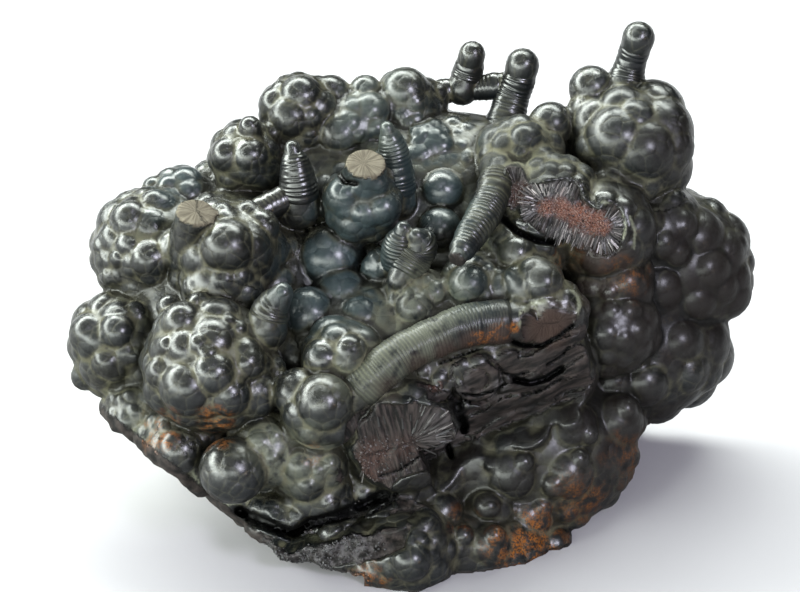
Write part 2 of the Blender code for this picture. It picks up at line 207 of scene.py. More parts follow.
# Low lumps at the back and underneath, where no knob is set out.
HIDDEN_LUMP = (4.5, 8.0)             # range of their radius
HIDDEN_SPACING = 5.5                 # their rough spacing
HIDDEN_DOMES = 5.2                   # and that of the small domes on them
HIDDEN_SINK = 0.5                    # share of the radius by which each is sunk

# Stalactites: each is a run of across, up, out, radius.
FINGERS = {
    "left_stub": ((-41.8, 8, 8, 4.4), (-40, 16.8, 16.6, 4)),
    "centre_stub": ((-7.6, 19, 5, 5.5), (-6.6, 26.6, 12.6, 3.9)),
    "curved": ((-20.4, 18, 3, 5), (-20.2, 21, 5, 4), (-20.6, 25, 6.5, 3.2), (-21.4, 29.4, 7.5, 1.9)),
    "side_rod": ((-30, 15.6, 7, 3), (-21, 20.4, 5, 2.8)),
    "small": ((-26.5, -6.4, 18, 4.8), (-25, -2.2, 19.5, 3.5), (-23, 0.6, 21.5, 2.4)),
    "broken_tip": ((-30, 28, -4, 3.6), (-30, 33.8, 0, 2.6)),
    "back_rod": ((6, 41.4, -16, 2.6), (14, 42, -16, 2.4), (22, 43, -15, 3)),
    "back_left": ((12.6, 42, -16, 3.6), (13.8, 45.6, -15, 3), (14.6, 49, -13, 3)),
    "back_right": ((20, 31, -13, 4.4), (22.6, 39.6, -14, 3.4), (24, 43.6, -13, 3.3), (24.8, 46.8, -12, 3.7)),
    "corner": ((45, 40, -9, 5), (46, 45, -9, 3.4), (46.8, 48, -8, 3.1), (48, 52, -6, 3.6)),
    "centre": ((-0.6, 19, 0, 4.4), (-0.8, 25, 3, 3.4), (-1.4, 29.4, 5, 2.8), (-2.6, 33.4, 7, 1.7)),
    "centre_tip": ((-4.6, 20, 8, 3), (-4.4, 22.4, 11.5, 2.4)),
    "twin_left": ((0, 5, 8, 3.6), (-0.4, 9.2, 11.5, 3.2), (0.6, 13.4, 14, 1.8)),
    "twin_right": ((-0.4, 3, 12, 2.6), (2.4, 7.6, 11.5, 3.8), (4, 10.4, 12.5, 3.2), (3.2, 12, 14.4, 1.8)),
    "long_ribbed": ((19.8, 25.4, 3, 3.2), (18.6, 20.6, 7, 3.4), (16.4, 15.8, 11, 3.2),
                    (13.6, 11.4, 15.5, 2.8), (11.2, 7.4, 19.5, 2.1)),
    "ridge": ((-10, -20, 20, 4.6), (-5, -15.6, 21, 4), (0, -11.6, 20.5, 4), (6, -8.6, 18.8, 4),
              (14, -5.6, 16.8, 4.2), (24, -5, 14.4, 4.6)),
}
FINGER_BALLS = (0, 0.25, 0.5, 0.75, 1)       # where balls are set along a stretch of stalactite

# Ribbed stalactites: how far each one's ribs stand out.
RIBS = {
    "long_ribbed": 0.24, "ridge": 0.14, "curved": 0.14, "side_rod": 0.1, "small": 0.06, "broken_tip": 0.08,
    "back_left": 0.09, "back_right": 0.1, "corner": 0.08, "back_rod": 0.12, "centre": 0.12,
    "centre_tip": 0.1, "twin_left": 0.2, "twin_right": 0.26,
}
SLEEVE = 0.35                        # how much slimmer the stone is under its ribbed skin
FINE_RIBS = {"ridge": 0.68, "twin_left": 0.8, "twin_right": 0.8}     # share of the usual rib pitch
RIB_DRIFT = 3.4                      # by how many ribs their count strays along a stalactite
RIB_SWELL = (2.4, -0.2)              # how their height varies: times the noise, then added to it
RIB_LINES = (7.1, 0.14)              # fine lines on a rib: how many, and their share of its height
ROD_SWELL = (0.16, 0.93)             # how a stalactite's thickness varies, in the same way
RIB_NOISE = {"drift": 260.0, "swell": 420.0, "fine": 900.0}      # scales of the unevenness, per metre
RIB_VALLEY = 0.72                    # how far the dust counts the groove between two ribs as a valley
RIB_CREST = 0.38                     # and how much less it counts their crests
RIB_FADE = 0.3                       # share of the ribs' height left at a stalactite's foot and tip
RIB_SIDES = 26                       # sides of a ribbed stalactite

# Flat breaks on the face: a point on each, the way it faces, the way it runs, half length, half width.
BREAKS = {
    "left_stub": ((-40, 16.8, 16), (0.15, 0.74, 0.66), (1, 0, 0), 4.3, 4.3),
    "centre_stub": ((-7.2, 26.4, 12.2), (0.09, 0.68, 0.72), (1, 0, 0), 4.4, 4.4),
    "ridge_end": ((29.4, -5.4, 17), (0.15, -0.5, 0.85), (1, 0.12, 0), 8, 6),
    "long_ribbed": ((11.4, 6.8, 20), (-0.4, -0.7, 0.6), (1, -0.5, 0), 3, 3),
    "shoulder": ((34.6, 15.8, 8.4), (0.1, 0.1, 0.99), (0.92, -0.38, 0), 14, 10),
    "wedge": ((23, 21.6, 7.8), (-0.2, 0.1, 0.97), (0.15, 1, 0), 7, 6),
    "front": ((-2, -30, 18.6), (0.15, -0.3, 0.94), (1, 0.26, 0), 16, 13),
    "band_top": ((27, -13.5, 12.6), (0.3, -0.45, 0.84), (0.92, 0.4, 0), 26, 4.5),
    "band_foot": ((29, -18, 8.5), (0.3, -0.75, 0.6), (0.92, 0.4, 0), 28, 6),
    "crust_crack": ((-14, -43, 8), (-0.1, -0.6, 0.8), (0.9, 0.3, 0), 22, 1.6),
    "layer_foot": ((-24, -52, 6), (-0.2, -0.97, 0), (1, -0.1, 0), 18, 20),
    "foot": ((-14, -49, 13.8), (0, -0.35, 0.94), (1, 0, 0), 20, 9),
}

# Outlines of the breaks that are neither round nor straight sided: across and up.
OUTLINES = {
    "shoulder": (
        (24.4, 21.6), (29, 22.6), (32, 23.2), (35.2, 22.6), (36.4, 19.2), (39.6, 16.8), (41.2, 18.4),
        (43.6, 17.2), (44.8, 14.2), (44.2, 11.2), (43.2, 9.2), (40.8, 7.8), (38.8, 8.4), (38, 9.6),
        (35, 9.8), (32.4, 9.8), (30.2, 11.2), (27, 13), (24.8, 15.2), (23.8, 18.2)),
    "wedge": ((21.4, 25.2), (23.4, 25.6), (24.8, 23.2), (25.4, 21.6), (24.4, 19.2), (22.8, 17.6),
              (21.8, 18.2), (20.8, 21.2)),
    "front": (
        (-10.4, -24.8), (-8.8, -22.8), (-6, -21.6), (-3, -21.2), (0, -21.2), (3, -20.8), (6, -21.4),
        (8.6, -22.4), (10, -23.8), (10.8, -26.4), (10.4, -28.8), (9.6, -30.8), (8, -32.8), (6, -34),
        (3, -34.8), (0, -35.6), (-1.6, -37.2), (-4, -38.2), (-5.6, -37.6), (-8, -36.8), (-12, -36),
        (-11.6, -31.8), (-11, -28.8), (-10.8, -26.8)),
    "band_top": (
        (5.6, -15.2), (9, -12.4), (14, -10.8), (21, -9.4), (24, -10), (29, -9.8), (32, -8), (35, -6.2),
        (40, -5.8), (41.2, -9.8), (39.6, -14.8), (35, -16.4), (32, -17.8), (28, -20.4), (20, -21.8),
        (14, -21.2), (11, -20.4), (8, -21.2), (5, -20.4), (3.6, -17.8)),
    "ridge_end": (
        (23.8, -5.2), (24.4, -3.2), (26, -2), (28.6, -1.6), (31.2, -1.6), (33.2, -2.4), (34.4, -4),
        (33.6, -5.6), (32, -7.2), (29.6, -8.4), (27.2, -9.2), (25.2, -9.2), (23.8, -8)),
    "foot": (
        (-30, -47.4), (-27, -46.8), (-22, -48.8), (-20, -47.8), (-17.6, -46.4), (-16, -48.8),
        (-11, -45.8), (-6, -43.8), (0, -43.2), (2, -45.8), (1, -49.8), (-4, -51.8), (-10, -52.8),
        (-16, -54), (-22, -54.2), (-27, -52.8), (-29, -50.8)),
}
OUTLINE_WANDER = 0.35                # how far an outline wanders
EDGE_WANDER = 0.8                    # and the edge of a straight-sided break

# How each flat break looks: its kind of relief, the height of it, and its number of fibres or layers.
BREAK_RELIEF = {
    "left_stub": ("radial", 0.12, 9), "centre_stub": ("radial", 0.12, 9), "ridge_end": ("radial", 0.5, 4),
    "long_ribbed": ("radial", 0.15, 6), "shoulder": ("radial", 1.0, 9), "wedge": ("radial", 0.6, 8),
    "front": ("radial", 0.8, 7), "foot": ("rough", 1.2, 2), "band_top": ("layers", 2.2, 3.4),
    "band_foot": ("layers", 2.4, 4.2), "crust_crack": ("rough", 0.8, 1.5), "layer_foot": ("rough", 0.8, 1.5),
}

# Half length of the core that a break's fibres leave, and how thick loose fibres are set on it.
BREAK_CORES = {"shoulder": 6, "front": 4.5, "ridge_end": 1.5}
FIBROUS = {"shoulder": 1.3, "front": 0.4, "wedge": 0.9}
CORE_RUN = 1.4                       # how quickly fibres change along their core
FIBRE_RUN = 5                        # over how many millimetres a fibre changes along its length
BLOCK_RUN = 7                        # and a block of a layered break
LAYER_FINENESS = 2.4                 # how much finer a layer's own grain is than the layer
LAYER_WANDER = 1.6                   # how far the layers wander
FIBRE_DEPTH = 0.5                    # how near a break's surface the stone counts as broken
BREAK_DEPTH = 12                     # how far out a break clears the stone
CLEARANCE = 2                        # how far past its edges a break is worked out
FIBRE_EDGE = (0.9, 0.8)              # how far inside a break's edge its loose fibres begin, and their fade

# Open cracks in the growth face: half width, depth, then across and up along each.
CRACKS = (
    (0.8, 3.5, ((20.6, 15.2), (23, 12.8), (27, 11), (30.4, 10.6))),
    (0.6, 2.5, ((-12.2, 24.4), (-11, 22.6), (-8.6, 22.2))),
    (0.5, 3, ((21, -8.4), (24.4, -9.8), (28, -9.8), (31.2, -8), (34, -5.8))),
    (0.8, 4, ((22.8, -16.6), (26, -17.2), (29, -16.4), (32, -14.4))),
    (0.3, 1.6, ((29, -13.6), (32, -11.8), (33.4, -10))),
    (0.3, 1.6, ((11, -19), (15, -19.6), (19, -18.6), (20.6, -17.4))),
    (0.3, 1.4, ((20, -15), (22.4, -15.8), (25.4, -15))),
    (0.3, 1.4, ((8, -13.2), (12, -11.8), (15.6, -10.4))),
    (0.3, 1.4, ((24, -20), (28, -18.8), (32, -16.4))),
    (1.2, 4, ((11.4, -21.6), (12, -24), (12.8, -26.4))),
    (0.7, 3, ((9.6, -29.8), (10.2, -32))),
    (1.4, 4, ((-32, -42.8), (-26, -45), (-21, -47), (-18, -44.8), (-12, -43.2), (-8, -41.8), (-3, -39.4))),
    (0.4, 1.6, ((-6, -43), (-2, -40.8), (-0.6, -38.8))),
    (0.25, 1.2, ((-4, -35.4), (0, -34.2), (4, -31.4))),
)
CRACK_TAPER = 0.5                    # share of a crack's width that is lost at its bottom
CRACK_FADE = (2.6, 2.2)              # painted shade inside a crack: its strength on its line, and the fall with each half width away

# Thin raised rims, where a crust ends: radius, then across and up along each.
RIMS = (
    (0.28, ((40.4, 18.6), (42.4, 17.8), (44, 16), (44.6, 13.6), (44.2, 11.4))),
    (0.4, ((23.6, -5.6), (24, -3.2), (26, -1.5), (28.8, -1))),
    (0.3, ((33.6, 1.4), (35, 0), (35.4, -2), (34.6, -4))),
    (0.22, ((45.6, 15.8), (46.6, 12.8), (46.4, 9.6))),
    (0.3, ((-41, -34.6), (-39.4, -38), (-35.6, -41.4), (-32, -41))),
)
RIM_FADE = (2.4, 1.6)                # and a rim's paleness, partly a painted highlight, in the same way
STRETCHES = (0, 0.2, 0.4, 0.6, 0.8)  # where a line's stretches are sounded for the surface
SOUNDING = (28, -36, -0.4)           # from how far out, to how far in, in what steps

# Stalactites cut across in the broken band: across, up, outer radius, and radius of the inner rod.
RINGS = ((15, -16.4, 4.8, 2.5), (7, -17.8, 3.4, 1.3))
RING_PITCH = 0.55                    # spacing of the growth lines inside them

# Rough breaks right across the mass, where it came away: a point on each and the way it faces.
TRIMS = {
    "lower_left": ((-50, -33.5, 0), (-0.62, -0.78, 0.05)),
    "back": ((0, 8, -35), (0.05, 0.15, -1)),
    "right_back": ((60, 10, -36), (0.5, 0.1, -0.85)),
    "left_back": ((-50, 8, -20), (-0.6, 0.2, -0.77)),
}
TRIM_RELIEF = 2.4                    # roughness of the breaks right across the mass
BASE_BROKEN = 0.4                    # the stone counts as broken this close to its flat base

# Colour over the growth face: across, up, radius and strength of each patch.
PATCHES = {
    "olive": ((-29, -9, 8, 0.7), (24, 28, 9, 1), (32, 8, 9, 0.9), (-60, -14, 7, 0.8), (-10, -12, 8, 0.8),
              (-1, -10, 7, 0.5), (-42, 14, 7, 0.25), (-18, -12, 6, 0.5), (36, 24, 6, 0.6), (18, 15, 6, 0.6),
              (3, 8, 5, 0.6), (-32, 22, 5, 0.5), (46, 22, 6, 0.4), (-22, 40, 6, 0.3)),
    "pale": ((-4, 37, 9, 0.4), (6, 0, 8, 0.8), (-6, -17, 4, 0.7), (-3, -14, 6, 0.6), (-18, -33, 7, 0.9),
             (-26, -29, 5, 1), (-10, -17, 5, 0.5), (4, -8, 6, 0.8),
             (-24, -33, 4, 0.8), (-52, -28, 4, 0.8), (20, 10, 4, 0.5)),
    "blue": ((-13, 4, 11, 1), (-8, 18, 8, 0.8), (8, 19, 7, 0.8), (14, 2, 7, 0.4), (5, 30, 9, 0.7),
             (-6, 36, 8, 0.6), (-45, 22, 6, 0.8), (18, 3, 5, 0.4)),
    "brown": ((60, 4, 15, 1), (50, -4, 13, 1), (30, -14, 13, 0.7), (44, -22, 14, 0.8), (42, 8, 8, 0.7),
              (10, -30, 12, 0.5), (46, 16, 6, 0.6), (30, -33, 15, 0.45), (16, -42, 10, 0.4),
              (46, -28, 9, 0.8), (55, 31, 7, 0.5)),
    "umber": ((29, -5.4, 5, 1), (9, -11, 2.6, 1), (14, -9, 2.6, 1), (19, -8, 2.6, 1), (4, -14, 2.6, 0.8),
              (40, 5, 7, 0.6), (-2, -18, 2.4, 0.6)),
    "rust": ((-36.4, -25.6, 3.4, 1), (-47, -27, 4, 0.8), (14.6, -8.4, 1.2, 0.7), (16.4, -7.8, 1.3, 0.8),
             (18.4, -7.2, 1.4, 0.8), (20.4, -6.6, 1.5, 0.8), (22.4, -6, 1.4, 0.8),
             (26, -50, 7, 1), (-6, -57.5, 4, 0.6), (47, -32, 5, 0.4), (-17, -31, 2, 0.6), (36, -42, 5, 0.4),
             (33, -37, 3, 0.2), (45, 4, 4, 0.4), (33, 7, 3, 0.4), (12, -44, 3, 0.4)),
    "red": ((29.4, 17.4, 1.8, 1), (32.4, 17.2, 2.3, 1), (35.4, 16.4, 2.6, 1), (38.4, 14.8, 2.6, 1),
            (40.4, 13.6, 1.8, 1), (-5.4, -31.4, 3.6, 0.2), (-6.4, -34, 2.6, 0.2), (1, -30, 2.6, 0.12),
            (-9, -38, 2.6, 0.4), (-18, -42.4, 3.4, 0.4), (23.4, 20.4, 2.6, 0.3), (6.8, -16.8, 1.4, 0.6)),
    "dull": ((24, 27, 10, 0.95), (33, 30, 6, 0.8), (33, 9, 8, 0.7), (46, 27, 9, 0.5), (46, 37, 7, 0.45),
             (56, 2, 18, 0.45), (42, -22, 15, 0.35), (24, -38, 13, 0.3), (2, -3, 9, 0.55),
             (-2, -13, 10, 0.7), (10, -8, 9, 0.7), (20, -5, 8, 0.7), (-56, -12, 9, 0.4), (-19, -33, 6, 0.3),
             (16, 14, 8, 0.5), (-30, 1, 8, 0.6), (-34, 7, 8, 0.3), (2, 9, 5, 0.5),
             (-12, 33, 12, 0.2), (-50, -22, 9, 0.4), (1, -44, 12, 0.4)),
    "silver": ((10.5, -16, 2.6, 0.7), (19.6, -17.4, 2.2, 0.8), (26, 20, 5, 1), (43, 12, 5, 1),
               (32, 21.6, 4, 0.9), (34, 11.6, 5, 0.9), (7.4, -26, 4.4, 0.35), (-17, -50, 5, 1),
               (-10, -49, 5, 0.8), (-24, -51, 4, 0.6), (22.6, 24, 1.8, 0.8)),
}
PATCH_RAGGED = 0.35                  # how ragged a patch's edge is, as a share of its radius
PATCH_FADE = (1.6, 1.2)              # its strength in its middle, and the fall with each radius away
PATCH_BACK = -30                     # how far back the patches reach

# Knobs wrapped in thin crusts, one rim behind another: the way each stack's middle faces, in the leaning
# frame, and the angles in degrees between which its rims show.
SHELLS = {
    "front_left": ((0.5, -0.1, 0.86), 52, 100),
    "second": ((0.55, 0.05, 0.83), 50, 100),
    "left": ((0.5, -0.2, 0.84), 55, 105),
    "lower_left": ((0.4, -0.4, 0.82), 55, 105),
    "shoulder": ((-0.55, -0.2, 0.81), 50, 100),
    "head": ((0.3, -0.5, 0.81), 50, 90),
}
SHELL_PITCH = 0.95                   # distance between two rims
SHELL_BAND = (0.8, 1.3)              # how near its knob's surface the stone counts, in radii

# How the stone's skin is judged and finished.
SHARPEST = {"crease": 0.26, "ridge": 0.22, "hollow": 1.6}     # full strength, in blurred grid steps
CREASE_POWER = 0.7
UPWARD_REACH = 1.2                   # over how much stone its lie is judged, for the dust that settles on it
SILVERY_TOP = -38                    # silvery grains lie only below this height on the face
GRAINS_BACK = -10                    # and no grains lie further back than this
BASE_CLEAR = 1.5                     # fibres and grains keep this far above the flat base
SHEEN = 0.13                         # specular level of the stone itself
GLOSS = 0.5                          # the most that its submetallic skin weighs over it
COAT_IOR = 1.58                      # that skin's index of refraction
COAT_ROUGHNESS = 0.27
CELL_SIZES = (3.4, 1.5)              # large and small scales in the skin
BUMPS = {"grain": 0.06, "speck": 0.022, "shell": 0.22, "fibre": 0.4, "rib": 0.03, "crystal": 0.02}

# The small shapes that are scattered, and how far each strays from the run of its break.
FIBRE = ("GeometryNodeMeshCone", {"fill_type": "NGON"},
         {"Vertices": 5, "Radius Top": 0.5, "Radius Bottom": 1.0, "Depth": 9.0})
GRAIN = ("GeometryNodeMeshIcoSphere", {}, {"Radius": 1.0, "Subdivisions": 1})
FIBRE_WANDER = 0.1
GRAIN_WANDER = 1.0
SCATTER_LIFT = 0.04                  # how far each leans out of the skin
SCATTER_SIZES = ((0.5, 0.4, 0.5), (1.3, 1.0, 1.3))     # from the smallest share of its size to the largest

MOST_TRIANGLES = 198000              # how many triangles the stone is thinned to
THINNING = 0.0001                    # how strongly the parts that face away are thinned first
THINNING_STEPS = 5

CAMERA_TILT = math.radians(32)       # the camera looks down by this much
CAMERA_DISTANCE = 1.0                # distances and lamps are in metres
CAMERA_LENS = 225
FLOOR_HALF = 3.0
BACKGROUND = (0.80, 0.83, 0.85, 1)
BACKGROUND_STRENGTH = 0.04

# An open ring of lamps round a direction overhead, with one wide lamp in its middle.
RING_LAMPS = 14
RING_MIDDLE = (-0.25, -0.25, 0.93)
RING_START = math.radians(50)        # where the ring begins, from the right, and how far round it goes
RING_TURN = math.radians(240)
RING_BRIGHTEST = math.radians(120)
RING_DIMMING = 0.35                  # how much of its glow swings round the ring
RING_SPREAD = math.radians(56)       # its half angle as seen from the stone
RING_LAMP = (0.4, 0.42, 34, (0.93, 1.0, 0.94), 1.4)      # width, height, glow, tint, distance
OVERHEAD_LAMP = (1.5, 1.5, 1.0, (0.95, 1.0, 0.97), 1.8)
# Single lamps: the way to each, then the same five.
LAMPS = {
    "cool": ((0.46, -0.65, 0.60), (0.36, 0.36, 60, (0.85, 0.84, 1.0), 1.4)),
    "warm": ((0.7, -0.7, 0.25), (0.1, 0.1, 20, (1.0, 0.72, 0.4), 1.4)),
}


def lean_axes():
    """The leaning frame's across, up and out directions, as rows."""
    sine = math.sin(LEAN)
    cosine = math.cos(LEAN)
    return np.array(((1, 0, 0), (0, sine, cosine), (0, -cosine, sine)))


AXES = lean_axes()


def place(points):
    """World millimetres of points given in the leaning frame."""
    return np.asarray(points, float) @ AXES + np.array(FACE_CENTRE)


def turn_out(directions):
    """World directions, of length one, of vectors given in the leaning frame."""
    turned = np.asarray(directions, float) @ AXES
    return turned / np.linalg.norm(turned, axis=-1, keepdims=True)


def face_points(points):
    """Across, up and out of world millimetres."""
    return (points - np.array(FACE_CENTRE)) @ AXES.T


def line_distance(across, up, line):
    """Distance in the growth face to a line through several points."""
    nearest = np.full(len(across), np.inf)
    for (a, b), (c, d) in zip(line, line[1:]):
        share = np.clip(((across - a) * (c - a) + (up - b) * (d - b)) / ((c - a) ** 2 + (d - b) ** 2), 0, 1)
        nearest = np.minimum(nearest, np.hypot(across - a - share * (c - a), up - b - share * (d - b)))
    return nearest


def outline_distance(across, up, outline):
    """Distance in the growth face to an outline, below zero inside it."""
    closed = outline + outline[:1]
    inside = np.zeros(len(across), bool)
    for (a, b), (c, d) in zip(closed, closed[1:]):
        if b != d:
            inside ^= ((b > up) != (d > up)) & (across < a + (c - a) * (up - b) / (d - b))
    distance = line_distance(across, up, closed)
    return np.where(inside, -distance, distance)


def lobe_out(knob, across, up, radius, proud):
    """How far out a lobe's centre lies for the lobe to stand proud of its knob."""
    sink = radius * (1 - proud)
    reach = (knob[3] - sink) ** 2 - (across - knob[0]) ** 2 - (up - knob[1]) ** 2
    return knob[2] + math.sqrt(max(reach, 0.0))


def join_smooth(a, b, softness):
    """The union of two distances with its crease filled a little."""
    blend = np.clip(0.5 + 0.5 * (b - a) / softness, 0, 1)
    return b + (a - b) * blend - softness * blend * (1 - blend)


class Lattice:
    """Seeded random values on a grid, read smoothly anywhere: stone-like unevenness."""

    def __init__(self, seed, size=32):
        self.size = size
        self.values = np.random.default_rng(seed).random((size, size, size), dtype=np.float32) * 2 - 1

    def read(self, points):
        """Values from -1 to 1 at the points, one bump for each unit of distance."""
        cell = np.floor(points).astype(np.int64)
        part = (points - cell).astype(np.float32)
        part = part * part * (3 - 2 * part)
        total = np.zeros(len(points), np.float32)
        for corner in np.ndindex(2, 2, 2):
            share = np.prod(np.where(corner, part, 1 - part), axis=1)
            spot = (cell + corner) % self.size
            total += share * self.values[spot[:, 0], spot[:, 1], spot[:, 2]]
        return total

    def layers(self, points, count=3):
        """Unevenness of several sizes, each half the last."""
        total = np.zeros(len(points), np.float32)
        for level in range(count):
            total += self.read(points * 2 ** level + LATTICE_SHIFT * level) / 2 ** level
        return total


class StoneField:
    """Distance to the stone's surface on a grid, in millimetres, below zero inside."""

    def __init__(self, low, high, step):
        self.low = np.asarray(low, float)
        self.step = step
        self.shape = tuple(np.ceil((np.asarray(high) - self.low) / step).astype(int) + 1)
        self.values = np.full(self.shape, FAR, np.float32)

    def window(self, low, high):
        """The part of the grid between two corners: its slices and its grid lines."""
        first = np.maximum(np.floor((np.asarray(low) - self.low) / self.step).astype(int), 0)
        last = np.minimum(np.ceil((np.asarray(high) - self.low) / self.step).astype(int) + 1, self.shape)
        slices = tuple(slice(a, b) for a, b in zip(first, last))
        lines = [np.float32(self.low[i] + self.step * np.arange(first[i], last[i])) for i in range(3)]
        return slices, np.meshgrid(*lines, indexing="ij", sparse=True)

    def join(self, slices, distance, softness):
        """Adds a solid to the window, its distance clipped to what the grid keeps."""
        old = self.values[slices]
        self.values[slices] = np.clip(join_smooth(old, distance, softness), -FAR, FAR)

    def add_ball(self, centre, radius, softness=SOFTNESS):
        """A ball joined to the stone."""
        slices, (x, y, z) = self.window(centre - radius - FAR, centre + radius + FAR)
        distance = np.sqrt((x - centre[0]) ** 2 + (y - centre[1]) ** 2 + (z - centre[2]) ** 2) - radius
        self.join(slices, distance, softness)

    def add_core(self, centre, halves):
        """An ellipsoid that leans with the growth face."""
        reach = max(halves) + FAR
        slices, (x, y, z) = self.window(centre - reach, centre + reach)
        parts = [AXES[i][0] * (x - centre[0]) + AXES[i][1] * (y - centre[1]) + AXES[i][2] * (z - centre[2])
                 for i in range(3)]
        near = np.sqrt(sum((part / half) ** 2 for part, half in zip(parts, halves)))
        slope = np.sqrt(sum((part / half ** 2) ** 2 for part, half in zip(parts, halves)))
        self.join(slices, near * (near - 1) / np.maximum(slope, 1e-6), CORE_SOFTNESS)

    def add_taper(self, foot, tip, foot_radius, tip_radius, dig=False):
        """A stretch of stalactite, round at both ends; or a groove of that shape, dug out."""
        widest = max(foot_radius, tip_radius) + FAR
        slices, (x, y, z) = self.window(np.minimum(foot, tip) - widest, np.maximum(foot, tip) + widest)
        along = tip - foot
        share = ((x - foot[0]) * along[0] + (y - foot[1]) * along[1] + (z - foot[2]) * along[2])
        share = np.clip(share / (along @ along), 0, 1)
        distance = np.sqrt((x - foot[0] - share * along[0]) ** 2 + (y - foot[1] - share * along[1]) ** 2
                           + (z - foot[2] - share * along[2]) ** 2)
        distance = distance - foot_radius - (tip_radius - foot_radius) * share
        if dig:
            self.values[slices] = np.maximum(self.values[slices], np.clip(-distance, -FAR, FAR))
        else:
            self.join(slices, distance, SOFTNESS)

    def places(self, low, high):
        """The grid places between two corners that are in or near the stone: their numbers and points."""
        slices, _ = self.window(low, high)
        local = np.argwhere(self.values[slices] < FAR)
        places = local + np.array([part.start for part in slices])
        return np.ravel_multi_index(tuple(places.T), self.shape), self.low + self.step * places

    def cut(self, index, distance):
        """Takes away the stone beyond a break, at the numbered grid places."""
        flat = self.values.reshape(-1)
        flat[index] = np.maximum(flat[index], np.clip(distance, -FAR, FAR))

    def sample(self, points, values=None, skipped=1):
        """Grid values read at any points; a grid with values skipped has only every second or third."""
        grid = self.values if values is None else values
        at = np.clip((points - self.low) / (self.step * skipped), 0, np.array(grid.shape) - 1)
        cell = np.clip(np.floor(at).astype(np.int64), 0, np.array(grid.shape) - 2)
        part = (at - cell).astype(np.float32)
        total = np.zeros(len(points), np.float32)
        for corner in np.ndindex(2, 2, 2):
            share = np.prod(np.where(corner, part, 1 - part), axis=1)
            spot = cell + corner
            total += share * grid[spot[:, 0], spot[:, 1], spot[:, 2]]
        return total

    def slope(self, points, reach):
        """Outward direction of the surface at any points."""
        sides = [self.sample(points + reach * step) - self.sample(points - reach * step)
                 for step in np.eye(3)]
        slope = np.stack(sides, axis=1)
        return slope / np.maximum(np.linalg.norm(slope, axis=1, keepdims=True), 1e-9)

    def skin(self):
        """The surface as vertices and quads: one vertex in each grid cell that it crosses."""
        inside = self.values < 0
        corner_sum = np.zeros(tuple(n - 1 for n in self.shape), np.int8)
        for corner in np.ndindex(2, 2, 2):
            corner_sum += inside[tuple(slice(c, n - 1 + c) for c, n in zip(corner, self.shape))]
        cells = np.argwhere((corner_sum > 0) & (corner_sum < 8))
        number = np.full(corner_sum.shape, -1, np.int32)
        number[tuple(cells.T)] = np.arange(len(cells))
        total = np.zeros((len(cells), 3), np.float32)
        count = np.zeros(len(cells), np.float32)
        for axis in range(3):
            others = [i for i in range(3) if i != axis]
            for offset in np.ndindex(2, 2):
                start = cells.copy()
                start[:, others] += offset
                end = start.copy()
                end[:, axis] += 1
                a = self.values[tuple(start.T)]
                b = self.values[tuple(end.T)]
                crossed = (a < 0) != (b < 0)
                share = np.where(crossed, a / np.where(crossed, a - b, 1), 0)
                spot = np.zeros((len(cells), 3), np.float32)
                spot[:, others] = offset
                spot[:, axis] = share
                total += spot * crossed[:, None]
                count += crossed
        vertices = self.low + self.step * (cells + total / count[:, None])
        quads = []
        for axis in range(3):
            one, two = [(axis + 1) % 3, (axis + 2) % 3]
            head = [slice(None)] * 3
            tail = [slice(None)] * 3
            head[axis] = slice(0, -1)
            tail[axis] = slice(1, None)
            edges = np.argwhere(inside[tuple(head)] != inside[tuple(tail)])
            outward = inside[tuple(edges.T)]
            ring = []
            for step_one, step_two in ((0, 0), (-1, 0), (-1, -1), (0, -1)):
                cell = edges.copy()
                cell[:, one] += step_one
                cell[:, two] += step_two
                ring.append(number[tuple(cell.T)])
            ring = np.stack(ring, axis=1)
            ring[~outward] = ring[~outward][:, ::-1]
            quads.append(ring)
        return vertices, np.concatenate(quads)


def hidden_lumps(rng):
    """Centres and radii of the low lumps over the back and the underside of the inner body."""
    for across, up, out, half_across, half_up, half_out in CORE:
        for _ in range(int(half_across * half_up / HIDDEN_SPACING ** 2)):
            turn = rng.uniform(0, 2 * math.pi)
            depth = rng.uniform(0, 1) ** 0.5
            rim = math.sqrt(1 - depth * depth)
            way = Vector((rim * math.cos(turn), rim * math.sin(turn), -depth))
            spot = Vector((half_across * way.x, half_up * way.y, half_out * way.z))
            normal = Vector((way.x / half_across, way.y / half_up, way.z / half_out)).normalized()
            radius = rng.uniform(*HIDDEN_LUMP)
            spot += Vector((across, up, out)) - HIDDEN_SINK * radius * normal
            yield place(spot), radius


def all_balls():
    """Every knob, lobe, stretch of stalactite and hidden lump as a ball: centre, radius, dome spacing."""
    for name, (knob, lobes) in KNOBS.items():
        spacing = 0 if name in SMOOTH_KNOBS else DOME_SPACING.get(name, PLAIN_SPACING)
        yield place(knob[:3]), knob[3], spacing
        for across, up, radius in lobes:
            out = lobe_out(knob, across, up, radius, LOW_LOBES.get(name, LOBE_PROUD))
            yield place((across, up, out)), radius, 0
    for run in FINGERS.values():
        for start, end in zip(run, run[1:]):
            for share in FINGER_BALLS:
                spot = np.array(start) * (1 - share) + np.array(end) * share
                yield place(spot[:3]), spot[3] - SLEEVE, 0
    for centre, radius in hidden_lumps(random.Random(SEED)):
        yield centre, radius, HIDDEN_DOMES


def grow_lumps(field):
    """The inner body, the knobs with their lobes, the stalactites and the hidden lumps."""
    for core in CORE:
        field.add_core(place(core[:3]), core[3:])
    for centre, radius, _ in all_balls():
        field.add_ball(centre, radius)
    for name, run in FINGERS.items():
        slim = SLEEVE if name in RIBS else 0
        for start, end in zip(run, run[1:]):
            field.add_taper(place(start[:3]), place(end[:3]), start[3] - slim, end[3] - slim)


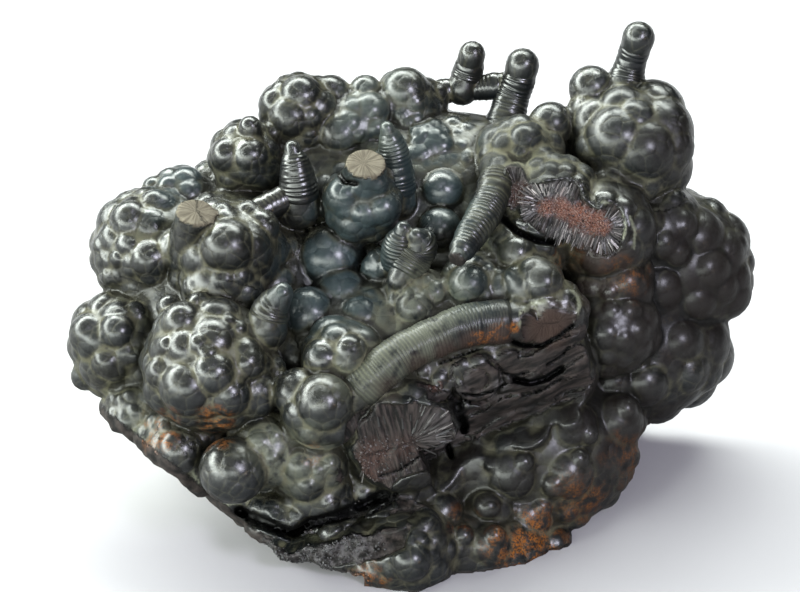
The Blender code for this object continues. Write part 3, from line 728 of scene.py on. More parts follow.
def spread_out(points, gaps, rng):
    """Picks points at random so that none is nearer to another than its own gap."""
    widest = gaps.max()
    cells = {}
    chosen = []
    for index in rng.permutation(len(points)):
        point = points[index]
        key = tuple((point // widest).astype(int))
        clear = True
        for step in np.ndindex(3, 3, 3):
            for other in cells.get((key[0] + step[0] - 1, key[1] + step[1] - 1, key[2] + step[2] - 1), ()):
                gap = 0.5 * (gaps[index] + gaps[other])
                if ((points[other] - point) ** 2).sum() < gap * gap:
                    clear = False
                    break
            if not clear:
                break
        if clear:
            cells.setdefault(key, []).append(index)
            chosen.append(index)
    return np.array(chosen)


def grow_domes(field):
    """Small domes all over the lumps, as closely set as each knob's spacing says."""
    rng = np.random.default_rng(SEED)
    inside = field.values[::2, ::2, ::2] < 0
    edge = np.zeros_like(inside)
    for axis in range(3):
        edge |= inside != np.roll(inside, 1, axis)
    points = field.low + field.step * 2 * np.argwhere(edge)
    points += rng.uniform(-field.step, field.step, points.shape)
    outward = field.slope(points, field.step)
    points -= outward * field.sample(points)[:, None]
    centres, radii, spacings = (np.array(part) for part in zip(*all_balls()))
    nearest = np.stack([np.linalg.norm(points - centre, axis=1) - radius
                        for centre, radius in zip(centres, radii)]).argmin(axis=0)
    ball = radii[nearest]
    spacing = np.minimum(spacings[nearest], DOME_SHARE * ball) * rng.uniform(*DOME_RANGE, len(points))
    keep = np.flatnonzero(spacing > SMALLEST_DOME)
    chosen = keep[spread_out(points[keep], spacing[keep], rng)]
    for point, way, gap, radius in zip(points[chosen], outward[chosen], spacing[chosen], ball[chosen]):
        reach = DOME_REACH * gap
        height = DOME_RISE * gap + radius - math.sqrt(radius ** 2 - reach ** 2)
        dome = (reach ** 2 + height ** 2) / (2 * height)
        field.add_ball(point + way * (DOME_RISE * gap - dome), dome, DOME_SOFTNESS)


def break_axes(normal, along):
    """A break's outward, side and along directions in the world."""
    outward = turn_out(normal)
    side = np.cross(outward, turn_out(along))
    side /= np.linalg.norm(side)
    return outward, side, np.cross(side, outward)


def fibre_coordinates(name, across, upward):
    """Where a point lies among a break's fibres: smooth along them, changing quickly across them."""
    kind, _, count = BREAK_RELIEF[name]
    if kind == "radial":
        core = BREAK_CORES.get(name, 0)
        nearest = np.clip(across, -core, core)
        reach = np.hypot(across - nearest, upward) + 0.05
        turn_across = count * (across - nearest) / reach
        turn_up = count * upward / reach
        return np.stack((nearest * CORE_RUN + turn_across, turn_up, reach / FIBRE_RUN), axis=1)
    if kind == "layers":
        return np.stack((across / BLOCK_RUN, upward / count * LAYER_FINENESS, np.zeros_like(across)), axis=1)
    return np.stack((across / count, upward / count, np.zeros_like(across)), axis=1)


def ring_relief(points, relief):
    """The band's relief with the stalactites cut across in it: an inner rod inside a crust."""
    face = face_points(points)
    for across, up, radius, rod in RINGS:
        away = np.hypot(face[:, 0] - across, (face[:, 1] - up) * 1.1)
        growth = 0.1 * np.sin(away * 2 * math.pi / RING_PITCH)
        inner = 0.5 + growth - 0.9 * np.exp(-((away - rod) / 0.22) ** 2) + 0.35 * (away > rod)
        gap = -1.2 * np.exp(-((away - radius - 0.3) / 0.35) ** 2)
        relief = np.where(away < radius, inner, relief + gap)
    return relief


def break_relief(name, points, across, upward, lattice):
    """Height of a break's uneven surface over its flat plane."""
    kind, height, count = BREAK_RELIEF[name]
    fibres = lattice.layers(fibre_coordinates(name, across, upward), 2)
    if kind == "layers":
        layer = (upward + LAYER_WANDER * lattice.read(points / 6)) / count
        slab = np.floor(layer)
        spots = (across / BLOCK_RUN + 3.7 * slab, 2.3 * slab, np.zeros_like(slab))
        block = lattice.read(np.stack(spots, axis=1))
        relief = 0.3 * (layer - slab) + 0.5 * block + 0.12 * fibres + 0.2 * lattice.layers(points / 3)
        return ring_relief(points, height * relief)
    return height * (0.4 * fibres + 0.4 * lattice.layers(points / (3.5 if kind == "radial" else 2)))


def break_edge(name, points, across, upward, lattice):
    """Distance to the edge of a break's flat part, below zero within it."""
    half_length, half_width = BREAKS[name][3:]
    if name.endswith("stub"):
        return np.hypot(across, upward) - half_length
    wander = lattice.read(points / 3)
    if name in OUTLINES:
        face = face_points(points)
        return outline_distance(face[:, 0], face[:, 1], OUTLINES[name]) + OUTLINE_WANDER * wander
    return np.maximum(np.abs(across) - half_length, np.abs(upward) - half_width) + EDGE_WANDER * wander


def break_places(field, name):
    """The grid places that a break may reach: their numbers, points, across, upward and height over it."""
    point, normal, along, half_length, half_width = BREAKS[name]
    outward, side, way = break_axes(normal, along)
    reach = max(half_length, half_width, BREAK_DEPTH) + 2 * CLEARANCE
    index, points = field.places(place(point) - reach, place(point) + reach)
    local = points - place(point)
    across, upward, height = local @ way, local @ side, local @ outward
    near = (np.abs(across) < half_length + CLEARANCE) & (np.abs(upward) < half_width + CLEARANCE)
    near &= height > -FAR - CLEARANCE
    return [part[near] for part in (index, points, across, upward, height)]


def cut_breaks(field, lattice):
    """Breaks the stone flat, with relief, at each break, trim and the base."""
    for name in BREAKS:
        index, points, across, upward, height = break_places(field, name)
        over = height.copy()
        low = height < FAR + CLEARANCE
        over[low] -= break_relief(name, points[low], across[low], upward[low], lattice)
        edge = break_edge(name, points, across, upward, lattice)
        field.cut(index, -np.maximum.reduce((edge, -over, height - BREAK_DEPTH)))
    planes = [(place(point), turn_out(normal), TRIM_RELIEF) for point, normal in TRIMS.values()]
    planes.append((np.zeros(3), np.array((0, 0, -1.0)), 0))
    index, points = field.places(field.low, field.low + field.step * np.array(field.shape))
    for point, normal, relief in planes:
        height = (points - point) @ normal
        beyond = height > FAR + relief
        field.cut(index[beyond], np.full(beyond.sum(), FAR))
        near = np.abs(height) <= FAR + relief
        over = height[near]
        if relief:
            over -= relief * (0.5 * lattice.layers(points[near] / 6) - 0.5)
        field.cut(index[near], over)


def on_surface(field, line):
    """World points close together along a line in the growth face, where it lies on the stone."""
    line = np.array(line, float)
    spots = [start + (end - start) * share for start, end in zip(line, line[1:]) for share in STRETCHES]
    spots = np.array(spots + [line[-1]])
    steps = np.arange(*SOUNDING)
    sounded = np.column_stack((np.repeat(spots, len(steps), axis=0), np.tile(steps, len(spots))))
    solid = field.sample(place(sounded)).reshape(len(spots), len(steps)) < 0
    out = steps[solid.argmax(axis=1)]
    out = np.convolve(np.pad(out, 1, "edge"), np.full(3, 1 / 3), "valid")
    return np.column_stack((spots, out))


def open_cracks(field):
    """Digs the cracks down into the face, narrower as they go."""
    for half_width, depth, line in CRACKS:
        spots = on_surface(field, line)
        levels = max(3, int(depth / half_width))
        for level in range(levels):
            share = level / (levels - 1)
            down = place(spots - np.array((0, 0, depth * share)))
            radius = half_width * (1 - CRACK_TAPER * share)
            for start, end in zip(down, down[1:]):
                field.add_taper(start, end, radius, radius, dig=True)


def raise_rims(field):
    """Thin round rims along the lines where a crust ends."""
    for radius, line in RIMS:
        spots = place(on_surface(field, line))
        for start, end in zip(spots, spots[1:]):
            field.add_taper(start, end, radius, radius)


def shell_values(points):
    """How many crusts deep each point is on its knob, and whether crusts show there."""
    depth = np.zeros(len(points), np.float32)
    shown = np.zeros(len(points), np.float32)
    for name, (way, first, last) in SHELLS.items():
        knob = KNOBS[name][0]
        local = points - place(knob[:3])
        away = np.linalg.norm(local, axis=1)
        turn = np.degrees(np.arccos(np.clip(local @ turn_out(way) / np.maximum(away, 1e-6), -1, 1)))
        on = (away > SHELL_BAND[0] * knob[3]) & (away < SHELL_BAND[1] * knob[3])
        on &= (turn > first) & (turn < last)
        depth[on] = np.radians(turn[on]) * knob[3] / SHELL_PITCH
        shown[on] = np.minimum((turn[on] - first) / 10, 1)
    return depth, shown


def patch_strength(points, patches, lattice):
    """How strongly a colour's patches reach each point, with ragged edges."""
    face = face_points(points)
    ragged = 1 + PATCH_RAGGED * lattice.layers(points / 4)
    total = np.zeros(len(points), np.float32)
    for across, up, radius, strength in patches:
        away = np.hypot(face[:, 0] - across, face[:, 1] - up) / (radius * ragged)
        total = np.maximum(total, strength * np.clip(PATCH_FADE[0] - PATCH_FADE[1] * away, 0, 1))
    return total * (face[:, 2] > PATCH_BACK)


def patch_values(points, lattice):
    """Every colour patch's strength at the points."""
    return {name: patch_strength(points, patches, lattice) for name, patches in PATCHES.items()}


def near_lines(points, lines, peak, fall):
    """How strongly thin lines mark each point: fully along them, and not at all a little way off."""
    face = face_points(points)
    total = np.zeros(len(points), np.float32)
    for half_width, line in lines:
        reach = line_distance(face[:, 0], face[:, 1], line) / half_width
        total = np.maximum(total, np.clip(peak - fall * reach, 0, 1))
    return total


def blurred(grid, rounds=3):
    """Grid values averaged with their neighbours, again and again."""
    for _ in range(rounds):
        for axis in range(3):
            grid = (2 * grid + np.roll(grid, 1, axis) + np.roll(grid, -1, axis)) / 4
    return grid


def relief_values(field, points):
    """How sharply the stone dips or stands up at each point, over a small, a middling and a wide reach."""
    fine = field.sample(points, blurred(field.values))
    mid = field.sample(points, blurred(field.values[::2, ::2, ::2]), 2)
    wide = field.sample(points, blurred(field.values[::3, ::3, ::3]), 3)
    return {
        "crease": np.clip(-fine / (SHARPEST["crease"] * field.step), 0, 1) ** CREASE_POWER,
        "ridge": np.clip(fine / (SHARPEST["ridge"] * field.step), 0, 1),
        "valley": np.clip(0.5 - mid / field.step, 0, 1),
        "hollow": np.clip(0.5 - wide / (SHARPEST["hollow"] * field.step), 0, 1),
    }


def break_values(points, lattice):
    """Where the stone is broken or cut across, where its loose fibres are set, and how the fibres run."""
    broken, cut, fibrous = np.zeros((3, len(points)), np.float32)
    fibres, flow = np.zeros((2, len(points), 3), np.float32)
    for name, (point, normal, along, _, _) in BREAKS.items():
        stub = name.endswith("stub")
        outward, side, way = break_axes(normal, along)
        local = points - place(point)
        near = np.flatnonzero(np.abs(local @ outward) < BREAK_DEPTH)
        local = local[near]
        across, upward, height = local @ way, local @ side, local @ outward
        over = np.abs(height - break_relief(name, points[near], across, upward, lattice))
        edge = break_edge(name, points[near], across, upward, lattice)
        on = (over < FIBRE_DEPTH) & (edge < (0.1 if stub else 0.5))
        here = near[on]
        (cut if stub else broken)[here] = 1
        fibres[here] = fibre_coordinates(name, across[on], upward[on])
        if name in FIBROUS:
            core = BREAK_CORES.get(name, 0)
            aside = across[on] - np.clip(across[on], -core, core)
            reach = np.hypot(aside, upward[on])
            flow[here] = (aside[:, None] * way + upward[on][:, None] * side) / (reach[:, None] + 0.01)
            within = np.clip((-edge[on] - FIBRE_EDGE[0]) / FIBRE_EDGE[1], 0, 1)
            fibrous[here] = FIBROUS[name] * np.clip(reach - 1, 0, 1) * within
    for point, normal in TRIMS.values():
        on = (points - place(point)) @ turn_out(normal) > -TRIM_RELIEF - FIBRE_DEPTH
        broken[on] = 1
        fibres[on] = points[on] / 2.5
    broken[points[:, 2] < BASE_BROKEN] = 1
    return {"broken": broken, "cut": cut, "fibrous": fibrous, "fibres": fibres, "flow": flow}


def stone_values(field, points, lattice):
    """The named numbers and directions that the stone's trees and material read at each vertex."""
    values = {**relief_values(field, points), **break_values(points, lattice)}
    values["upward"] = field.slope(points, UPWARD_REACH)[:, 2]
    values["shell"], values["shelled"] = shell_values(points)
    values.update(patch_values(points, lattice))
    # painted shade: how strongly each point near a crack is painted dark
    values["crack_shade"] = near_lines(points, [(half_width, line) for half_width, _, line in CRACKS], *CRACK_FADE)
    # pale crust edges, partly a painted highlight along the rims
    values["rim"] = near_lines(points, RIMS, *RIM_FADE)
    face = face_points(points)
    clear = points[:, 2] > BASE_CLEAR
    silvery = values["silver"] * (face[:, 1] < SILVERY_TOP)
    grainy = values["broken"] * (values["red"] + 0.35 * (silvery + values["rust"]) * (1 - values["fibrous"]))
    values["grainy"] = np.minimum(grainy, 1) * (face[:, 2] > GRAINS_BACK) * clear
    outside_core = 1 - np.minimum(values["red"], 1)
    values["fibrous"] = values["fibrous"] * outside_core * np.minimum(0.05 + values["silver"], 1) * clear
    return values


def fill_mesh(name, vertices, faces):
    """A smooth-shaded mesh from millimetre vertices and its faces."""
    mesh = bpy.data.meshes.new(name)
    mesh.vertices.add(len(vertices))
    mesh.vertices.foreach_set("co", (np.asarray(vertices, np.float32) * MM).ravel())
    mesh.loops.add(faces.size)
    mesh.loops.foreach_set("vertex_index", faces.ravel().astype(np.int32))
    mesh.polygons.add(len(faces))
    mesh.polygons.foreach_set("loop_start", np.arange(0, faces.size, faces.shape[1], dtype=np.int32))
    mesh.update(calc_edges=True)
    mesh.shade_smooth()
    return mesh


def show(mesh, name):
    """An object of the mesh in the scene's collection."""
    obj = bpy.data.objects.new(name, mesh)
    bpy.context.scene.collection.objects.link(obj)
    return obj


def baked_mesh(obj, name):
    """A plain mesh of the object with its modifiers worked out, and the modifiers removed."""
    graph = bpy.context.evaluated_depsgraph_get()
    mesh = bpy.data.meshes.new_from_object(obj.evaluated_get(graph), depsgraph=graph)
    obj.modifiers.clear()
    mesh.name = name
    return mesh


def mesh_vectors(mesh, key):
    """A mesh's vertex places in metres, or the way that it faces at each."""
    numbers = np.empty(3 * len(mesh.vertices), np.float32)
    mesh.vertices.foreach_get(key, numbers)
    return numbers.reshape(-1, 3)


def store_values(mesh, values):
    """Writes named numbers or directions onto the mesh's vertices."""
    for name, numbers in values.items():
        numbers = np.asarray(numbers, np.float32)
        kind, key = ("FLOAT", "value") if numbers.ndim == 1 else ("FLOAT_VECTOR", "vector")
        mesh.attributes.new(name, kind, "POINT").data.foreach_set(key, numbers.ravel())


def keep_whole(obj):
    """Drops crumbs that a break leaves loose from the stone."""
    mesh = bmesh.new()
    mesh.from_mesh(obj.data)
    mesh.verts.ensure_lookup_table()
    unseen = set(mesh.verts)
    largest = []
    while unseen:
        group = [unseen.pop()]
        for vert in group:
            for edge in vert.link_edges:
                other = edge.other_vert(vert)
                if other in unseen:
                    unseen.remove(other)
                    group.append(other)
        if len(group) > len(largest):
            largest = group
    keep = set(largest)
    bmesh.ops.delete(mesh, geom=[vert for vert in mesh.verts if vert not in keep], context="VERTS")
    mesh.to_mesh(obj.data)
    mesh.free()


def thin_skin(obj, most):
    """Fewer triangles where the skin is flattest or faces back or down, to the number a piece may have."""
    away = np.clip(0.5 - mesh_vectors(obj.data, "normal") @ AXES[2], 0, 1)
    group = obj.vertex_groups.new(name="Thin")
    for share in range(1, THINNING_STEPS + 1):
        members = np.flatnonzero(np.ceil(away * THINNING_STEPS) == share)
        group.add(members.tolist(), share / THINNING_STEPS, "REPLACE")
    thin = obj.modifiers.new("Thin", "DECIMATE")
    thin.vertex_group = group.name
    thin.vertex_group_factor = THINNING
    thin.ratio = most / (2 * len(obj.data.polygons))
    obj.data = baked_mesh(obj, obj.name)
    obj.vertex_groups.clear()


class Value:
    """A node's socket with arithmetic: each sum, product or mix adds its node."""

    def __init__(self, maker, socket):
        self.maker = maker
        self.socket = socket

    def math(self, operation, *others):
        """A Math node on this value and others."""
        sockets = dict(enumerate((self, *others)))
        return self.maker.node("ShaderNodeMath", {"operation": operation}, sockets)

    def __add__(self, other):
        return self.math("ADD", other)

    def __mul__(self, other):
        return self.math("MULTIPLY", other)

    def __sub__(self, other):
        return self.math("SUBTRACT", other)

    def __rsub__(self, other):
        return self.maker.node("ShaderNodeMath", {"operation": "SUBTRACT"}, {0: other, 1: self})

    def __rtruediv__(self, other):
        return self.maker.node("ShaderNodeMath", {"operation": "DIVIDE"}, {0: other, 1: self})

    __radd__ = __add__
    __rmul__ = __mul__

    def scaled(self, factor):
        """A vector, longer or shorter."""
        return self.maker.node("ShaderNodeVectorMath", {"operation": "SCALE"}, {0: self, "Scale": factor})

    def between(self, low, high):
        """0 at the low value, 1 at the high value, and smooth between."""
        settings = {"interpolation_type": "SMOOTHSTEP"}
        sockets = {"Value": self, "From Min": low, "From Max": high}
        return self.maker.node("ShaderNodeMapRange", settings, sockets)

    def limited(self):
        """Kept from 0 to 1."""
        return self.maker.node("ShaderNodeClamp", {}, {"Value": self})


class NodeMaker:
    """Adds nodes to one tree."""

    def __init__(self, tree):
        self.tree = tree

    def node(self, kind, settings=None, sockets=None, output=0):
        """Any node: its settings first, then the values or links of its sockets."""
        node = self.tree.nodes.new(kind)
        for key, setting in (settings or {}).items():
            setattr(node, key, setting)
        for key, given in (sockets or {}).items():
            if isinstance(given, Value):
                self.tree.links.new(given.socket, node.inputs[key])
            else:
                node.inputs[key].default_value = given
        return Value(self, node.outputs[output]) if node.outputs else None


class MaterialMaker(NodeMaker):
    """Builds one material's nodes."""

    def __init__(self, name):
        self.material = bpy.data.materials.new(name)
        self.material.use_nodes = True
        super().__init__(self.material.node_tree)
        self.tree.nodes.clear()

    def attribute(self, name, output="Fac"):
        """A value stored on the mesh."""
        return self.node("ShaderNodeAttribute", {"attribute_name": name}, output=output)

    def place(self):
        """Object coordinates, in millimetres."""
        return self.node("ShaderNodeTexCoord", output="Object").scaled(1 / MM)

    def noise(self, where, scale, detail=3.0, roughness=0.55):
        """Smooth noise from 0 to 1."""
        sockets = {"Vector": where, "Scale": scale, "Detail": detail, "Roughness": roughness}
        return self.node("ShaderNodeTexNoise", {}, sockets)

    def cells(self, where, size, feature="F1"):
        """Distance within rounded cells of this size, in cells."""
        settings = {"voronoi_dimensions": "3D", "feature": feature}
        sockets = {"Vector": where, "Scale": 1 / size, "Randomness": 0.85}
        return self.node("ShaderNodeTexVoronoi", settings, sockets, output="Distance")

    def mix(self, share, first, second):
        """One colour turning into another."""
        settings = {"data_type": "RGBA", "blend_type": "MIX"}
        return self.node("ShaderNodeMix", settings, {0: share, 6: first, 7: second}, output=2)

    def bump(self, height, depth, under=None):
        """A normal raised by a height, over the bump under it; the depth is in millimetres."""
        sockets = {"Height": height, "Distance": depth * MM, "Strength": 1.0}
        if under is not None:
            sockets["Normal"] = under
        return self.node("ShaderNodeBump", {}, sockets)

    def finish(self, sockets):
        """A Principled surface with these sockets, and the finished material."""
        surface = self.node("ShaderNodeBsdfPrincipled", {}, sockets)
        self.node("ShaderNodeOutputMaterial", {}, {"Surface": surface})
        return self.material


def skin_parts(make, colours):
    """The skin's colour, how matt it is, and how glossy its coat, as they are on lumps and ribs alike."""
    where = make.place()
    broad = make.noise(where, 0.09, 2.0)
    mottle = make.noise(where, 0.45, 4.0)
    grain = make.noise(where, 2.6, 3.0)
    blue = make.attribute("blue")
    brown = make.attribute("brown")
    upward = make.attribute("upward")
    valley = make.attribute("valley").between(0.25, 0.95)
    pale = (make.attribute("pale") * mottle.between(0.25, 0.55) * (0.45 + valley * 0.6)).limited()
    dusty = (make.attribute("olive") * mottle.between(0.25, 0.55) * (0.06 + valley)).limited()
    rusty = (make.attribute("rust") * mottle.between(0.4, 0.6) * grain.between(0.35, 0.6)).limited()
    settled = upward.between(0.2, 1.0) * (0.03 + valley) * 0.7
    settled = (settled * mottle.between(0.25, 0.6) * (1 - brown)).limited()
    skin = make.mix(broad.between(0.35, 0.65), colours.stone, colours.stone_blue)
    skin = make.mix((blue * 0.85).limited(), skin, colours.blue_grey)
    skin = make.mix((brown * 0.9).limited(), skin, colours.brown)
    skin = make.mix(dusty, skin, colours.olive)
    skin = make.mix(pale, skin, colours.pale)
    skin = make.mix(make.attribute("umber") * 0.8, skin, colours.umber)
    skin = make.mix(rusty, skin, colours.rust)
    skin = make.mix(settled, skin, colours.dust)
    matt = dusty * 0.12 + rusty * 0.4 + (mottle - 0.5) * 0.5
    gloss = (1 - dusty * 0.75) * (1 - pale * 0.75) * (1 - rusty) * (1 - brown * 0.5) * (1 - blue * 0.15)
    gloss = gloss * mottle.between(0.2, 0.5) * (0.5 + upward.between(-0.3, 0.6) * 0.6)
    gloss = gloss * (1 - make.attribute("dull") * 0.85)
    return skin, matt, gloss, mottle, grain, rusty


def break_colour(make, colours, fibre, grain, rusty):
    """Broken stone: dark and light fibres, silvery or umber in places, with red cores and rust."""
    raw = make.mix(fibre.between(0.35, 0.7), colours.break_dark, colours.break_light)
    silver = (make.attribute("silver") * fibre.between(0.4, 0.65)).limited()
    raw = make.mix(silver, raw, colours.silver)
    red = (make.attribute("red") * grain.between(0.35, 0.55)).limited()
    raw = make.mix(red, raw, colours.red)
    raw = make.mix(make.attribute("umber"), raw, colours.umber)
    return make.mix(rusty * 0.8, raw, colours.rust)


def stone_bumps(make, mottle, grain, speck, fibre, whole):
    """The stone's finest relief: scales, grain and crusts on whole skin, fibres where it is broken."""
    where = make.place()
    large = make.cells(where, CELL_SIZES[0])
    small = make.cells(where, CELL_SIZES[1])
    scales = (large * large * -1.0 + small * small * -0.12) * whole * (1 - make.attribute("brown") * 0.6)
    shell = make.attribute("shell") + (mottle - 0.5) * 0.7
    rim = shell.math("FRACT") * make.attribute("shelled")
    bumps = make.bump(scales, 1.0)
    bumps = make.bump(grain, BUMPS["grain"], bumps)
    bumps = make.bump(speck, BUMPS["speck"], bumps)
    bumps = make.bump(rim, BUMPS["shell"], bumps)
    fibrous = make.attribute("broken") + make.attribute("cut") * 0.3
    return make.bump(fibre * fibrous, BUMPS["fibre"], bumps)


def glossy_finish(make, colour, rough, coat, bumps):
    """The finished material of the stone or its ribs: a matt body under a thin submetallic coat."""
    return make.finish({"Base Color": colour, "Roughness": rough.limited(), "Normal": bumps,
                        "Specular IOR Level": SHEEN, "Coat Weight": (coat * GLOSS).limited(),
                        "Coat IOR": COAT_IOR, "Coat Roughness": COAT_ROUGHNESS})


def stone_material(colours):
    """Dark submetallic goethite: dusty in its hollows, with painted shade in its deepest hollows, its dark
    skin's creases and its cracks; fibrous where broken, rusty in patches.
    """
    make = MaterialMaker("goethite skin")
    skin, matt, gloss, mottle, grain, rusty = skin_parts(make, colours)
    speck = make.noise(make.place(), 7.0, 2.0)
    fibre = make.noise(make.attribute("fibres", "Vector"), 1.0, 3.0, 0.6)
    broken = make.attribute("broken")
    cut = make.attribute("cut")
    crack_shade = make.attribute("crack_shade")
    hollow = make.attribute("hollow")
    whole = (1 - broken) * (1 - cut)
    # painted shade: the deepest hollows are darkened with the crease colour
    deep = hollow.between(0.8, 1.0)
    dark = (make.attribute("brown") + make.attribute("blue")).limited()
    settled = (hollow.between(0.55, 0.8) * mottle.between(0.4, 0.65) * 0.3 * (1 - deep)).limited()
    edge = 1 - make.cells(make.place(), CELL_SIZES[0], "DISTANCE_TO_EDGE").between(0.0, 0.09)
    crease = make.attribute("crease") * 0.8 + edge * 0.22 * (1 - dark)
    crease = (crease * mottle.between(0.25, 0.6)).limited()
    worn = (make.attribute("ridge") * 0.06 * speck.between(0.4, 0.6)).limited()
    skin = make.mix(settled, skin, colours.dust)
    # lines between the lumps: olive dust on the lighter skin, painted shade on the brown and blue skin; then
    # painted shade in the deepest hollows
    skin = make.mix(crease, skin, make.mix(dark, colours.olive_crease, colours.crease))
    skin = make.mix(deep * 0.75, skin, colours.crease)
    skin = make.mix(speck.between(0.55, 0.72) * 0.12 * (1 - dark), skin, colours.pale)
    # pale edges where a crust ends, partly a painted highlight along the rims
    skin = make.mix(make.attribute("rim") * 0.7, skin, colours.rim)
    skin = make.mix(worn, skin, colours.worn)
    colour = make.mix(broken, skin, break_colour(make, colours, fibre, grain, rusty))
    stub = make.mix(fibre.between(0.38, 0.62), colours.stub_dark, colours.stub)
    colour = make.mix(cut, colour, stub)
    # painted shade: the insides of the cracks are painted near black
    colour = make.mix(crack_shade, colour, colours.black)
    coat = gloss * (1 - settled) * (1 - cut) * (1 - broken * 0.75) * (1 - crease * 0.8) * (1 - crack_shade)
    rough = matt * 0.5 + 0.78 - gloss * whole * 0.5
    return glossy_finish(make, colour, rough, coat, stone_bumps(make, mottle, grain, speck, fibre, whole))


def ribbed_material(colours):
    """The same skin on the ribs, dustier in their grooves."""
    make = MaterialMaker("ribbed goethite")
    skin, matt, gloss, _, grain, _ = skin_parts(make, colours)
    rough = matt * 0.5 + 0.75 - gloss * 0.45
    return glossy_finish(make, skin, rough, gloss, make.bump(grain, BUMPS["rib"]))


def fibre_material(colours):
    """Silvery to black blades of a fresh break."""
    make = MaterialMaker("goethite fibres")
    tone = make.attribute("tone")
    grain = make.noise(make.place(), 3.0, 2.0)
    bright = (tone * tone * (0.15 + make.attribute("silver") * 0.9)).limited()
    colour = make.mix(bright, colours.break_dark, colours.fibre)
    colour = make.mix((make.attribute("red") * 0.5 * tone).limited(), colour, colours.red)
    return make.finish({"Base Color": colour, "Roughness": (grain * 0.3 + 0.28).limited(),
                        "Normal": make.bump(grain, BUMPS["crystal"]), "Metallic": (tone * 0.5).limited()})


def grain_material(colours):
    """Granular crystals: brick red in a core, rusty in patches, silvery elsewhere."""
    make = MaterialMaker("goethite grains")
    tone = make.attribute("tone")
    speck = make.noise(make.place(), 4.0, 2.0)
    silver = make.mix(tone * tone, colours.break_dark, colours.silver)
    colour = make.mix((make.attribute("rust") * 1.5).limited(), silver, colours.rust)
    colour = make.mix(make.attribute("red"), colour, colours.red)
    colour = make.mix((tone * tone * 0.55 * speck.between(0.3, 0.6)).limited(), colour, colours.break_dark)
    return make.finish({"Base Color": colour, "Roughness": (speck * 0.4 + 0.3).limited(),
                        "Normal": make.bump(speck, BUMPS["crystal"])})


def floor_material(colours):
    """Pale matt studio floor with a very faint mottle."""
    make = MaterialMaker("studio floor")
    mottle = make.noise(make.place(), 0.02, 2.0)
    pale = make.mix(mottle * 0.06, colours.floor, (0.5, 0.5, 0.5, 1))
    return make.finish({"Base Color": pale, "Roughness": 0.7})


class GeometryMaker(NodeMaker):
    """Builds one Geometry Nodes tree with named inputs."""

    def __init__(self, name, inputs):
        super().__init__(bpy.data.node_groups.new(name, "GeometryNodeTree"))
        interface = self.tree.interface
        interface.new_socket("Geometry", in_out="INPUT", socket_type="NodeSocketGeometry")
        for label, kind in inputs.items():
            interface.new_socket(label, in_out="INPUT", socket_type=f"NodeSocket{kind}")
        interface.new_socket("Geometry", in_out="OUTPUT", socket_type="NodeSocketGeometry")
        self.given = self.tree.nodes.new("NodeGroupInput")

    def input(self, label):
        """One of the tree's named inputs."""
        return Value(self, self.given.outputs[label])

    def named(self, name, kind="FLOAT"):
        """An attribute of the geometry."""
        return self.node("GeometryNodeInputNamedAttribute", {"data_type": kind}, {"Name": name})

    def noise(self, scale, detail):
        """Smooth noise from 0 to 1 at the geometry's own places."""
        spot = self.node("GeometryNodeInputPosition")
        return self.node("ShaderNodeTexNoise", {}, {"Vector": spot, "Scale": scale, "Detail": detail})

    def random_vector(self, low, high, seed):
        """A vector for each point, anywhere between two."""
        return self.node("FunctionNodeRandomValue", {"data_type": "FLOAT_VECTOR"},
                         {0: low, 1: high, "Seed": seed})

    def summed(self, first, second):
        """Two vectors added."""
        return self.node("ShaderNodeVectorMath", {"operation": "ADD"}, {0: first, 1: second})

    def stored(self, geometry, name, value):
        """The geometry with a number stored at its points."""
        return self.node("GeometryNodeStoreNamedAttribute", {"data_type": "FLOAT", "domain": "POINT"},
                         {"Geometry": geometry, "Name": name, "Value": value})

    def finish(self, geometry, material):
        """Ends the tree with plain mesh in its material."""
        plain = self.node("GeometryNodeRealizeInstances", {}, {"Geometry": geometry})
        coloured = self.node("GeometryNodeSetMaterial", {}, {"Geometry": plain, "Material": material})
        end = self.tree.nodes.new("NodeGroupOutput")
        self.tree.links.new(coloured.socket, end.inputs["Geometry"])
        return self.tree


def run_tree(obj, tree, inputs, name):
    """Runs a tree on an object with these inputs, and gives the plain mesh that comes out."""
    modifier = obj.modifiers.new(tree.name, "NODES")
    modifier.node_group = tree
    sockets = {item.name: item.identifier for item in tree.interface.items_tree if item.in_out == "INPUT"}
    for label, given in inputs.items():
        modifier[sockets[label]] = given
    return baked_mesh(obj, name)


